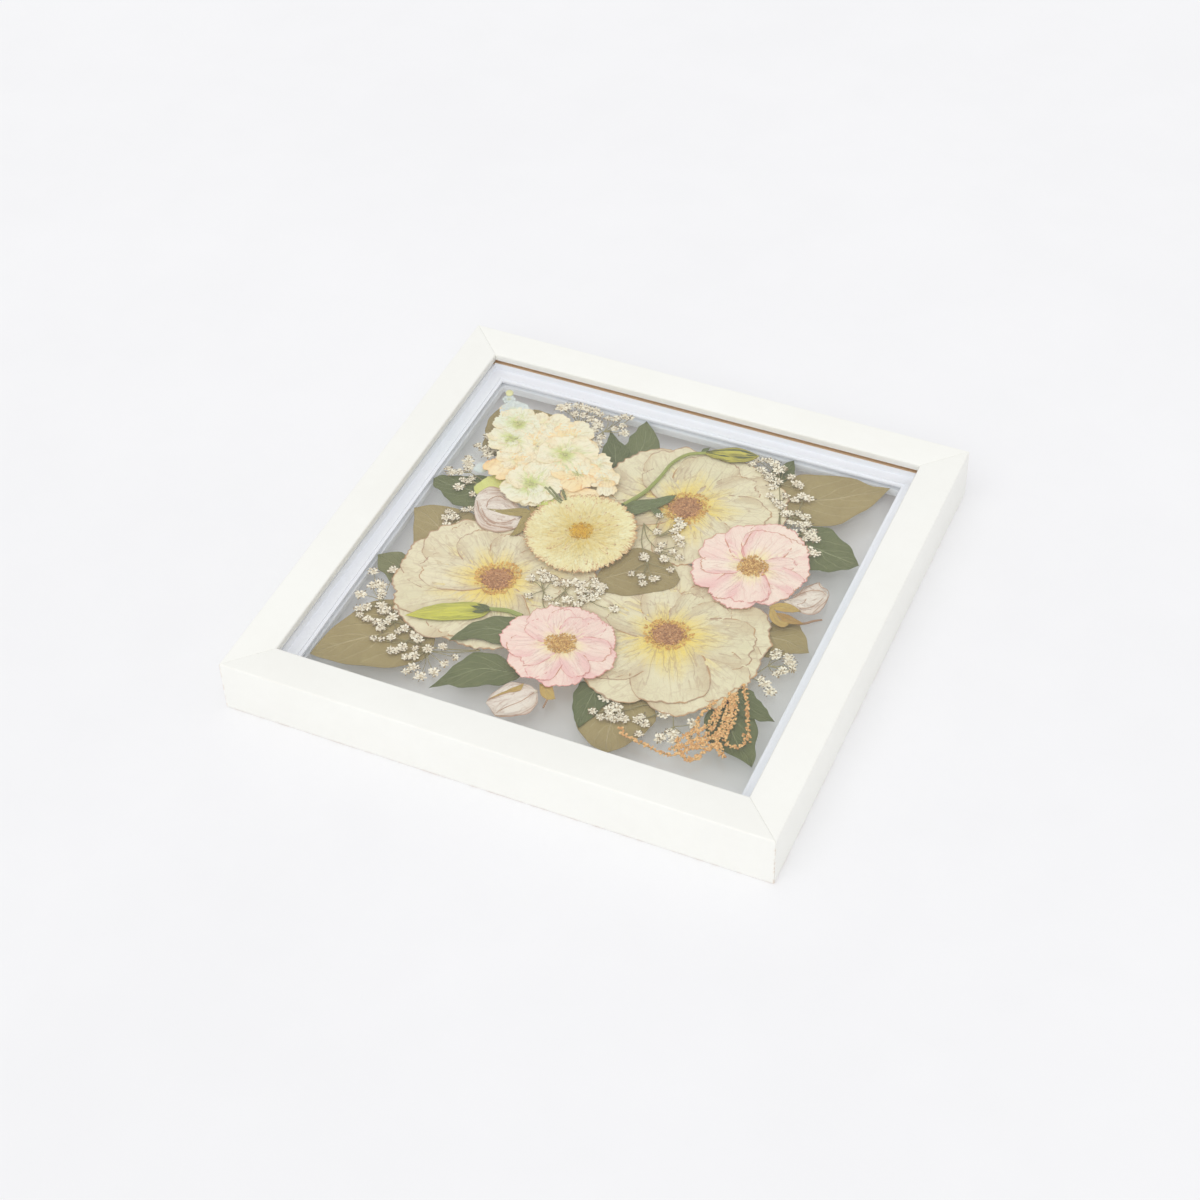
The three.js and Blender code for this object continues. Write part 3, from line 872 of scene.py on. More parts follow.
@dataclass(frozen=True)
class LinerFinish(Finish):
    """Matt white paint with a cool cast and a little dust in it, and painted shade on top at the back: brown,
    as light bounced off raw wood tints the shade under the lip.

    Top is the liner's height, and back the Y from which its top carries that painted shade.
    """

    body: Colour
    shade: Colour
    dust: Colour
    # Core is the brown of the painted shade on the top under the back lip.
    core: Colour
    top: float
    back: float

    def draw(self, graph: Surface) -> None:
        """Draws the finish.

        Args:
            graph: The material's graph.
        """
        place = graph.place
        (cloud,) = graph.group(EFFECTS.mottle, place, 30)
        fleck = graph.noise(place, 1400, 3, 0.7)
        colour = graph.mix(cloud, self.body, self.shade)
        colour = graph.mix(graph.span(fleck, 0.72, 0.8, 0, 0.12), colour, self.dust)
        _, y, z = graph.split(place)
        # Painted shade: the top at the back lies under the lip, so it is coloured brown for that shade and
        # for the light bounced off raw wood.
        shade_band = (z > (self.top - 0.1) * MM) * (y > self.back * MM)
        colour = graph.mix(shade_band, colour, self.core)
        graph.coat(colour, graph.span(cloud, 0, 1, 0.5, 0.65), fleck, 0.05)


@dataclass(frozen=True)
class GlassFinish(Finish):
    """Clear float glass, which lets shadow rays through so that what lies under it is lit."""

    tone: Colour = (255, 255, 255)
    smeared: Colour = (252, 254, 253)
    index: float = 1.45

    def draw(self, graph: Surface) -> None:
        """Draws the finish.

        Args:
            graph: The material's graph.
        """
        graph.keep(Roughness=0.0, IOR=self.index, Transmission_Weight=1.0)
        smear = graph.span(graph.noise(graph.place, 14, 3), 0.4, 0.7)
        graph.link(graph.mix(smear, self.tone, self.smeared), graph.shader.inputs["Base Color"])
        shadow, diffuse = (graph.value("LightPath", port=f"Is {kind} Ray") for kind in ("Shadow", "Diffuse"))
        glass, clear = Signal(graph, graph.shader.outputs[0]), graph.value("BsdfTransparent")
        both = graph.value("MixShader", {0: shadow.most(diffuse), 1: glass, 2: clear})
        graph.link(both, graph.output.inputs["Surface"])


@dataclass(frozen=True)
class SteelFinish(Finish):
    """Dull zinc-plated steel with fine scratches."""

    dark: Colour = (150, 152, 156)
    light: Colour = (190, 192, 196)

    def draw(self, graph: Surface) -> None:
        """Draws the finish.

        Args:
            graph: The material's graph.
        """
        place = graph.place
        (cloud,) = graph.group(EFFECTS.mottle, place, 300)
        scratch = graph.noise(graph.stretch(place, (300, 4000, 300)), 1, 3)
        graph.keep(Metallic=1.0)
        colour = graph.mix(cloud, self.dark, self.light)
        graph.coat(colour, graph.span(scratch, 0.2, 0.8, 0.3, 0.5), scratch, 0.02)


@dataclass(frozen=True)
class TabletopFinish(Finish):
    """A matt, faintly clouded tabletop with a little light of its own."""

    body: Colour = (231, 231, 233)
    clouded: Colour = (234, 234, 236)
    glow: float = 0.1

    def draw(self, graph: Surface) -> None:
        """Draws the finish.

        Args:
            graph: The material's graph.
        """
        (cloud,) = graph.group(EFFECTS.mottle, graph.place, 4)
        graph.link(graph.mix(cloud, self.body, self.clouded), graph.shader.inputs["Base Color"])
        graph.keep(Roughness=0.85, Specular_IOR_Level=0.2)
        graph.keep(Emission_Color=(1.0, 1.0, 1.0, 1.0), Emission_Strength=self.glow)


# ---- Frame and glazing ----


@dataclass
class Surround:
    """The painted rails and white liners: the model's own solids with softened edges."""

    sides: tuple[str, ...] = ("front", "right", "back", "left")
    rail_edge: float = 0.28
    liner_edge: float = 0.22
    sharp: float = 25.0
    mitre_reach: float = 0.2
    film: float = 0.05
    lip_gap: float = 0.3
    slack: float = 1.0
    # How far in from the liner's back edge its top carries the painted shade.
    bare_depth: float = 6.0

    def build(self) -> None:
        """Makes the four rails and both liners."""
        corner, glass, liner = (box[1] / MM for box in (CAD_BOX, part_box("front_glass"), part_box("liner")))
        paint = PaintFinish(
            "white_paint", (249, 249, 244), (241, 240, 234), (214, 190, 168), (192, 150, 108), (166, 122, 82),
            half=corner.x, height=corner.z, rebate=glass.x + self.slack, lip=glass.z + self.lip_gap,
        ).make()
        # The liner's fourth colour is the brown painted shade for its top under the back lip.
        white = LinerFinish(
            "liner_white", (244, 246, 251), (240, 243, 249), (190, 186, 184), (222, 189, 148),
            top=liner.z, back=liner.y - self.bare_depth,
        ).make()
        for side in self.sides:
            self._soften(f"rail_{side}", paint, self.rail_edge)
        self._soften("liner", white, self.liner_edge)
        self._soften("lower_liner", white, self.liner_edge)

    def _soften(self, node: str, material: Material, edge: float) -> None:
        """Copies a node's solid, merges its loose triangles and rounds its edges.

        Args:
            node: The model node to copy and stand for.
            material: What the copy is dressed in.
            edge: The radius of the rounding.
        """
        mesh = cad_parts[node].data.copy()
        thing = bpy.data.objects.new(f"{node}_dressed", mesh)
        bpy.context.scene.collection.objects.link(thing)
        mesh.materials.clear()
        mesh.materials.append(material)
        with editing(thing):
            bpy.ops.mesh.remove_doubles(threshold=WELD * MM)
            bpy.ops.mesh.dissolve_limited(angle_limit=math.radians(1))
            bpy.ops.mesh.normals_make_consistent(inside=False)
        self._close_joints(thing)
        self._ease_edges(thing, edge)
        bpy.ops.object.shade_smooth_by_angle(angle=SMOOTH)
        settle(thing, node)

    def _close_joints(self, thing: bpy.types.Object) -> None:
        """Moves a mitre's faces together, as the paint film does, and lowers the lip to the glass.

        Args:
            thing: A rail, or a liner, whose corners lie clear of both.
        """
        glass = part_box("front_glass")[1].z
        lip, near_glass = glass + self.lip_gap * MM, glass + self.film * MM
        for vertex in thing.data.vertices:
            gap = abs(vertex.co.x) - abs(vertex.co.y)
            if abs(gap) < self.mitre_reach * 2 * MM:
                middle = (abs(vertex.co.x) + abs(vertex.co.y)) / 2
                near = math.copysign(self.film * MM, gap) / 2
                vertex.co.x = math.copysign(middle + near, vertex.co.x)
                vertex.co.y = math.copysign(middle - near, vertex.co.y)
            if abs(vertex.co.z - lip) < WELD * MM:
                vertex.co.z = near_glass

    def _ease_edges(self, thing: bpy.types.Object, edge: float) -> None:
        """Rounds a solid's sharp edges, except those that close a mitre.

        Args:
            thing: The solid.
            edge: The radius of the rounding.
        """
        shape = bmesh.new()
        shape.from_mesh(thing.data)
        shape.select_mode = {"EDGE"}
        for line in shape.edges:
            on_mitre = all(abs(abs(v.co.x) - abs(v.co.y)) < self.mitre_reach * MM for v in line.verts)
            sharp = len(line.link_faces) == 2 and line.calc_face_angle(0) > math.radians(self.sharp)
            line.select_set(sharp and not on_mitre)
        shape.to_mesh(thing.data)
        shape.free()
        make_active(thing)
        bpy.ops.object.mode_set(mode="EDIT")
        bpy.ops.mesh.bevel(offset=edge * MM, segments=3, clamp_overlap=True)
        bpy.ops.object.mode_set(mode="OBJECT")


@dataclass
class Glazing:
    """The two panes and the framer's points, which keep the model's own solids."""

    points_a_side: int = 2

    def build(self) -> None:
        """Dresses the model's nodes."""
        steel = SteelFinish("point_steel").make()
        self._dress("front_glass", GlassFinish("pane_glass").make())
        self._dress("flower_pane", GlassFinish("pane_glass_lower", (253, 254, 251), (252, 253, 250)).make())
        for side in Surround.sides:
            for number in range(1, self.points_a_side + 1):
                self._dress(f"framers_point_{side}_{number}", steel)

    def _dress(self, node: str, material: Material) -> None:
        """Gives a model node its material.

        Args:
            node: The node.
            material: Its material.
        """
        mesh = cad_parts[node].data
        mesh.materials.clear()
        mesh.materials.append(material)
        log.info("%s dressed", node)


# ---- Leaves ----


class LeafKind(Enum):
    """The three tones of dried leaf."""

    KHAKI = LeafFinish("leaf_khaki", (173, 156, 104), (150, 132, 84), (196, 180, 136), pairs=9)
    GREEN = LeafFinish("leaf_green", (116, 122, 74), (90, 98, 54), (156, 162, 118), pairs=8, rib_strength=0.8)
    OLIVE = LeafFinish("leaf_olive", (136, 136, 92), (112, 114, 70), (160, 158, 112), pairs=8)


KHAKI, GREEN, OLIVE = LeafKind


@dataclass(frozen=True)
class Leaf:
    """A leaf between two sides, which share its base and its tip. Left is seen facing the tip."""

    node: str
    kind: LeafKind
    base: Point
    tip: Point
    left: tuple[Point, ...]
    right: tuple[Point, ...]
    tint: float = 0.5


@dataclass
class Foliage:
    """Every leaf in the frame."""

    leaves: tuple[Leaf, ...]
    columns: int = 30
    rows: int = 14
    crown: float = 0.12
    raggedness: float = 0.6

    def build(self) -> None:
        """Makes each leaf in place of its node."""
        sheet = Template.grid(self.columns, self.rows)
        finishes = {kind: kind.value.make() for kind in LeafKind}
        for leaf in self.leaves:
            piece = Piece(leaf.node, finishes[leaf.kind])
            add_leaf(piece, sheet, leaf, 0, self.crown, self.raggedness)
            piece.build(leaf.kind.value.name)


def add_leaf(
    piece: Piece, sheet: Template, leaf: Leaf, lift: float, crown: float, ragged: float,
    finish: Material | None = None,
) -> None:
    """Lays one leaf-shaped sheet in a piece.

    Args:
        piece: The piece to add it to.
        sheet: A grid template.
        leaf: The leaf's outline and tint.
        lift: The height of its underside over the piece's.
        crown: How far its middle rises over its edge.
        ragged: How far its edge strays.
        finish: Its material, or None for the piece's first.
    """
    draw = random.Random(leaf.node + str(leaf.tip))
    wave, edge = ripple(draw, 5, 3), ripple(draw, 6, 11)
    share = 0.5 - 0.5 * np.cos(np.clip(sheet.along, 0.002, 0.998) * math.pi)
    left = smooth_curve([leaf.base, *leaf.left, leaf.tip], share)
    right = smooth_curve([leaf.base, *leaf.right, leaf.tip], share)
    across = sheet.across
    middle, reach = (left + right) / 2, (left - right) / 2
    size = np.maximum(np.linalg.norm(reach, axis=1), 1e-6)
    stray = ragged * edge(share, np.sign(across)) * np.minimum(size / 4, 1) * np.abs(across) ** 3
    plan = middle + reach * (across * (1 + stray / size))[:, None]
    rise = crown * (1 - across**2) * np.sin(share * math.pi) + 0.08 * wave(share * 3, across)
    top = piece.height + lift + SHEET / 2 + 0.1 + rise
    piece.add(sheet, np.column_stack([plan, top]), finish, leaf.tint, sheet=True)


LEAVES = (
    Leaf("leaf_khaki_top_left", KHAKI, (-90, 58), (-107, 95),
         ((-98, 58), (-105, 72), (-108.5, 84)), ((-84, 70), (-92, 88), (-102, 94)), 0.6),
    Leaf("leaf_khaki_top", KHAKI, (-56, 84), (-99, 98.5),
         ((-64, 80), (-80, 82), (-92, 88)), ((-60, 93), (-72, 99), (-88, 100.5)), 0.7),
    Leaf("leaf_green_upper_left", GREEN, (-78, 26), (-114.6, 29.5),
         ((-84, 17), (-93, 15.5), (-106, 20.5), (-112.5, 25)),
         ((-82, 38), (-90, 41.5), (-97, 39), (-104, 35.5), (-111, 34)), 0.35),
    Leaf("leaf_khaki_left", KHAKI, (-74, -14), (-113.5, 5),
         ((-84, -25), (-95, -27), (-103, -17), (-109, -4)),
         ((-80, 10), (-90, 13), (-103, 11.5), (-109, 8)), 0.4),
    Leaf("leaf_olive_left", OLIVE, (-86, -40), (-114.6, -34),
         ((-94, -50), (-103, -47), (-110, -41.5)), ((-93, -30), (-104, -28), (-111, -30.5)), 0.5),
    Leaf("leaf_khaki_lower_left", KHAKI, (-62, -72), (-112.5, -109),
         ((-58, -88), (-67, -99), (-80, -105.5), (-95, -108.5), (-106, -109.5)),
         ((-74, -58), (-90, -58.5), (-102, -67), (-109, -82), (-112, -98)), 0.45),
    Leaf("leaf_green_lower_a", GREEN, (-18, -62), (-52, -77.5),
         ((-25, -70), (-38, -71), (-46, -74)), ((-24, -52), (-36, -53), (-45.5, -60), (-50, -70)), 0.4),
    Leaf("leaf_green_lower_b", GREEN, (-10, -82), (-48, -108),
         ((-14, -91), (-26, -97), (-34, -102), (-43, -104)),
         ((-20, -77), (-36, -77), (-43, -88), (-45.5, -101)), 0.5),
    Leaf("leaf_khaki_bottom", KHAKI, (42, -70), (47, -112.6),
         ((56, -76), (60, -87), (57, -99), (51, -109)),
         ((28, -78), (22, -92), (28, -103), (38, -110.5)), 0.5),
    Leaf("leaf_green_bottom", GREEN, (28, -72), (29, -104),
         ((35, -80), (34, -90), (31, -99)), ((18, -77), (19, -88), (24, -98)), 0.95),
    Leaf("leaf_green_corner_a", GREEN, (84, -52), (112.8, -65),
         ((91, -49), (100, -53.5), (107, -60)), ((90, -64), (99, -68), (106, -67)), 0.55),
    Leaf("leaf_green_corner_b", GREEN, (83, -58), (113, -95),
         ((94, -58), (104, -67), (109, -79), (112, -88)),
         ((81, -72), (86, -85), (97, -91), (107, -92.5)), 0.3),
    Leaf("leaf_khaki_right", KHAKI, (84, -12), (112, -15.5),
         ((90, 0), (100, 2), (107, -7)), ((88, -27), (97, -25), (106, -18.5)), 0.55),
    Leaf("leaf_green_right", GREEN, (74, 53), (114.4, 50),
         ((82, 68), (91, 70), (99, 66), (107, 60)), ((82, 38), (92, 37.5), (102, 40), (110, 45.5)), 0.5),
    Leaf("leaf_khaki_right_large", KHAKI, (56, 80), (110, 112),
         ((58, 97), (66, 105.5), (78, 110), (90, 112), (101, 110.5)),
         ((68, 70), (82, 69), (94, 75), (102, 88), (107, 102)), 0.35),
    Leaf("leaf_green_top_right", GREEN, (54, 76), (56, 114.6),
         ((46, 86), (47, 100), (51.5, 109)), ((62, 84), (62.5, 97), (59, 107)), 0.4),
    Leaf("leaf_green_top_a", GREEN, (-23, 80), (-28.8, 114.7),
         ((-31, 88), (-31.5, 100), (-30.3, 109)), ((-14, 86), (-13, 96), (-19, 105.5), (-25, 111.5)), 0.1),
    Leaf("leaf_green_top_b", GREEN, (-30, 72), (-43.5, 99.5),
         ((-39, 78), (-41.5, 88), (-42.2, 95)), ((-25, 80), (-29, 89), (-37, 94.5)), 0.95),
    Leaf("leaf_khaki_centre", KHAKI, (-4, -12), (35.5, 6),
         ((-2, 8), (8, 19), (20, 18.5), (30, 12)), ((6, -17), (18, -13), (29, -6.5), (34.5, -1)), 0.85),
)


# ---- Flowers ----


@dataclass(frozen=True)
class Petal:
    """A petal on bearings from its flower's centre, in degrees counter-clockwise from +X.

    Reach is its length, spread half the angle that its widest place fills, rise its height in the pile,
    and waist the share of the reach at which its sides turn into the rounded end.
    """

    bearing: float
    reach: float
    spread: float
    rise: float
    waist: float = 0.7


def add_petal(
    piece: Piece, sheet: Template, petal: Petal, centre: Point, start: float = 1.0, ruffle: float = 0.022,
    wrinkle: float = 0.12, finish: Material | None = None, tint: float | None = None, lift: float = 0.0,
) -> None:
    """Lays one petal in a piece.

    Args:
        piece: The piece to add it to.
        sheet: A grid template.
        petal: The petal's shape.
        centre: The flower's centre.
        start: How far from the centre the petal begins.
        ruffle: How far its rim strays, as a share of its reach.
        wrinkle: The height of its wrinkles.
        finish: Its material, or None for the piece's first.
        tint: Its shade, or None to draw one.
        lift: The height of the flower's underside over the piece's.
    """
    draw = piece.draw
    along, across = sheet.along, sheet.across
    rim_wave, pleat, dent = ripple(draw, 6, 3.5), ripple(draw, 6, 5), ripple(draw, 4, 12)
    crumple = ripple(draw, 3, 4)
    rounding = np.sqrt(np.maximum(0.0, 1 - np.abs(across) ** 2.6))
    ragged = 1 + ruffle * rim_wave(across) + ruffle * 0.6 * dent(across)
    out = start + (petal.reach * (petal.waist + (1 - petal.waist) * rounding) * ragged - start) * along
    cup = np.sqrt(1 - (1 - along) ** 2.2)
    half_width = 0.72 * petal.reach * math.sin(math.radians(petal.spread))
    side = half_width * cup * across * (1 + ruffle * rim_wave(along * 2 + 5))
    tilt = 0.16 * across * along
    folds = wrinkle * pleat(across * 1.6, along) * (0.3 + 0.7 * along)
    ridge = wrinkle * 0.7 * (1 - 2 * np.minimum(np.abs(crumple(across * 2.5, along * 2.5)), 1)) * along
    crown = 0.2 * np.sin(math.pi * along) * (1 - across**2)
    top = piece.height + lift + SHEET + 0.12 + petal.rise + np.maximum(tilt + folds + ridge + crown, -0.1)
    plan = turned(out, side, math.radians(petal.bearing), centre)
    shade = draw.random() if tint is None else tint
    piece.add(sheet, np.column_stack([plan, top]), finish, shade, sheet=True)


def add_thread(
    piece: Piece, foot: Sequence[float], head: Sequence[float], width: float, finish: Material, tint: float
) -> None:
    """Adds a straight tapered thread.

    Args:
        piece: The piece to add it to.
        foot: Where it starts.
        head: Where it ends.
        width: Its half width at its foot.
        finish: Its material.
        tint: Its shade.
    """
    foot, head = np.asarray(foot, float), np.asarray(head, float)
    forward = (head - foot) / np.linalg.norm(head - foot)
    side = np.cross((0, 0, 1), forward)
    side = side / max(np.linalg.norm(side), 1e-6)
    up = np.cross(forward, side)
    along, left, high = Template.thread().corners.T
    corners = foot + np.outer(along, head - foot) + width * (np.outer(left, side) + np.outer(high, up))
    piece.add(Template.thread(), corners, finish, tint)


def add_bead(
    piece: Piece, place: Sequence[float], size: Sequence[float], turn: float, finish: Material, tint: float,
    fineness: int = 1,
) -> None:
    """Adds a ball.

    Args:
        piece: The piece to add it to.
        place: Its middle.
        size: Its half sizes along its own axes.
        turn: How far it is turned about Z, in radians.
        finish: Its material.
        tint: Its shade.
        fineness: How often its faces are divided.
    """
    bead = Template.bead(fineness)
    out, side, up = (bead.corners * np.asarray(size)).T
    piece.add(bead, np.column_stack([turned(out, side, turn, place), up + place[2]]), finish, tint)


@dataclass(frozen=True)
class Tuft:
    """A flower's stamens: threads with anthers round a packed middle."""

    reach: float
    middle: float
    threads: int
    grains: int

    def add(self, piece: Piece, centre: Point, height: float, gold: Material, brown: Material) -> None:
        """Adds the tuft to a piece.

        Args:
            piece: The piece to add it to.
            centre: The flower's centre.
            height: The height of the petals under the tuft.
            gold: The threads' and anthers' material.
            brown: The middle's material.
        """
        draw = piece.draw
        add_bead(piece, (*centre, height + 0.2), (self.middle, self.middle, 0.35), 0, brown, 0.4, 3)
        uneven = ripple(draw, 4, 1.0)
        for _ in range(self.threads):
            bearing = draw.uniform(0, math.tau)
            reach = self.reach * draw.uniform(0.55, 1.0) ** 0.8 * (1 + 0.14 * float(uneven(bearing)))
            sway = draw.uniform(-1.3, 1.3)
            foot = (*polar(centre, bearing, self.middle * 0.7), height + 0.25)
            end = polar(polar(centre, bearing, reach), bearing + math.pi / 2, sway)
            head = (*end, height + draw.uniform(0.25, 0.6))
            add_thread(piece, foot, head, 0.16, gold, draw.uniform(0.2, 1))
            size = (draw.uniform(0.5, 0.85), draw.uniform(0.32, 0.5), 0.26)
            add_bead(piece, head, size, bearing + draw.uniform(-1.2, 1.2), gold, draw.uniform(0, 1))
        for _ in range(self.grains):
            bearing = draw.uniform(0, math.tau)
            reach = self.middle * math.sqrt(draw.uniform(0, 1)) * (1.06 + 0.16 * float(uneven(bearing)))
            top = height + 0.4 + 0.35 * (1 - reach / self.middle) + draw.uniform(0, 0.15)
            place = (*polar(centre, bearing, reach), top)
            size = (draw.uniform(0.55, 0.95), draw.uniform(0.3, 0.55), 0.32)
            add_bead(piece, place, size, draw.uniform(0, 3), brown, draw.uniform(0, 1) ** 1.5)


@dataclass(frozen=True)
class Rose:
    """An open rose: its petals from the lowest to the highest, and its tuft of stamens."""

    node: str
    centre: Point
    petals: tuple[Petal, ...]
    tuft: Tuft
    pink: bool = False
    blush: float = 0.0


ROSES = (
    Rose("rose_cream_left", (-49, -29), (
        Petal(17, 50, 40, 0.0), Petal(349, 47, 36, 0.02), Petal(75, 38, 42, 0.0), Petal(128, 46, 40, 0.06),
        Petal(22, 45, 40, 0.0), Petal(232, 53, 38, 0.05), Petal(282, 48, 40, 0.0),
        Petal(335, 42, 38, 0.08), Petal(178, 51, 34, 0.1), Petal(152, 50, 31, 0.18),
        Petal(210, 53, 30, 0.2), Petal(256, 45, 31, 0.26), Petal(100, 34, 24, 0.34), Petal(5, 33, 31, 0.3),
        Petal(56, 31, 28, 0.3), Petal(134, 38, 27, 0.36), Petal(303, 40, 26, 0.36),
        Petal(188, 40, 28, 0.4),
    ), Tuft(11.6, 7.6, 230, 240)),
    Rose("rose_cream_top", (18, 56), (
        Petal(150, 50, 42, 0.0), Petal(193, 53, 44, 0.02), Petal(60, 49, 38, 0.05), Petal(25, 53, 38, 0.1),
        Petal(345, 38, 40, 0.0), Petal(246, 42, 42, 0.0), Petal(118, 47, 34, 0.2), Petal(88, 43, 34, 0.34),
        Petal(294, 42, 38, 0.3), Petal(205, 33, 30, 0.3), Petal(48, 41, 24, 0.36), Petal(10, 43, 30, 0.34),
        Petal(140, 36, 24, 0.36), Petal(328, 31, 26, 0.38),
    ), Tuft(12.0, 7.8, 230, 240)),
    Rose("rose_cream_front", (45, -32), (
        Petal(345, 49, 36, 0.0), Petal(20, 50, 38, 0.05), Petal(310, 53, 38, 0.0), Petal(245, 51, 40, 0.0),
        Petal(60, 44, 38, 0.1), Petal(103, 50, 40, 0.05), Petal(160, 50, 38, 0.15),
        Petal(195, 40, 36, 0.1), Petal(332, 50, 28, 0.14), Petal(225, 47, 31, 0.2),
        Petal(120, 33, 28, 0.34), Petal(85, 31, 20, 0.36), Petal(10, 43, 34, 0.36),
        Petal(294, 46, 36, 0.42), Petal(238, 41, 27, 0.3), Petal(52, 34, 26, 0.36),
        Petal(170, 33, 27, 0.34),
    ), Tuft(11.4, 7.6, 230, 240)),
    Rose("rose_pink_right", (66, 27), (
        Petal(80, 34, 38, 0.0), Petal(20, 29, 36, 0.06), Petal(320, 28, 34, 0.0), Petal(268, 31, 32, 0.1),
        Petal(212, 31, 32, 0.05), Petal(160, 30, 36, 0.1), Petal(120, 31, 28, 0.16),
        Petal(50, 31, 24, 0.2), Petal(350, 28, 24, 0.24), Petal(100, 27, 26, 0.3), Petal(250, 29, 20, 0.3),
        Petal(198, 26, 20, 0.3), Petal(285, 26, 34, 0.4), Petal(84, 28, 36, 0.42),
        Petal(306, 24, 16, 0.36), Petal(28, 22, 18, 0.4),
    ), Tuft(7.8, 4.9, 150, 130), pink=True),
    Rose("rose_pink_front", (0, -60), (
        Petal(88, 26.5, 40, 0.0), Petal(38, 27, 38, 0.06), Petal(348, 29, 36, 0.0),
        Petal(292, 28, 36, 0.1), Petal(240, 28, 36, 0.05), Petal(182, 30, 38, 0.12),
        Petal(132, 27, 36, 0.2), Petal(60, 25, 24, 0.26), Petal(112, 24, 24, 0.3), Petal(265, 26, 26, 0.3),
        Petal(10, 25, 26, 0.34), Petal(205, 26, 26, 0.34), Petal(160, 22, 24, 0.4),
        Petal(320, 24, 24, 0.4), Petal(82, 20, 28, 0.42), Petal(235, 22, 22, 0.42),
    ), Tuft(7.4, 4.7, 150, 130), pink=True, blush=0.4),
)


@dataclass
class Roses:
    """All five open roses."""

    roses: tuple[Rose, ...]
    columns: int = 30
    rows: int = 36
    pile: float = 0.75

    def build(self) -> None:
        """Makes each rose in place of its node."""
        sheet = Template.grid(self.columns, self.rows)
        cream = PetalFinish(
            "petal_cream", (226, 217, 178), (241, 231, 198), (208, 188, 150), (241, 215, 108),
            (176, 140, 110), (190, 144, 96), (204, 180, 142), base_reach=0.74, margin_width=0.024,
            margin_strength=0.95, vein_strength=0.15, fold_strength=0.45, fold_count=6, crease_scale=75,
            crease_strength=0.24,
        ).make()
        pink = PetalFinish(
            "petal_pink", (250, 236, 216), (246, 208, 198), (240, 190, 186), (248, 234, 176), (218, 142, 134),
            (196, 130, 84), (236, 182, 174), base_reach=0.6, shade_strength=0.7, margin_width=0.03,
            vein_strength=0.24, fold_strength=0.3,
        ).make()
        amber = GrainFinish("stamen_amber", (190, 132, 60), (246, 206, 116)).make()
        brown = GrainFinish("stamen_brown", (146, 92, 54), (228, 176, 122)).make()
        gold = GrainFinish("stamen_gold", (170, 114, 56), (246, 210, 130)).make()
        for rose in self.roses:
            finishes = (pink, gold) if rose.pink else (cream, amber, brown)
            piece = Piece(rose.node, *finishes)
            ruffle = 0.024 if rose.pink else 0.02
            for petal in rose.petals:
                tint = rose.blush + (1 - rose.blush) * 0.6 * piece.draw.random()
                add_petal(piece, sheet, petal, rose.centre, ruffle=ruffle, tint=tint)
            rose.tuft.add(piece, rose.centre, piece.height + self.pile, finishes[1], finishes[-1])
            piece.build("petal_pink" if rose.pink else "petal_cream")


@dataclass(frozen=True)
class Whorl:
    """One ring of the chrysanthemum's rays."""

    count: int
    start: float
    reach: float
    width: float
    rise: float


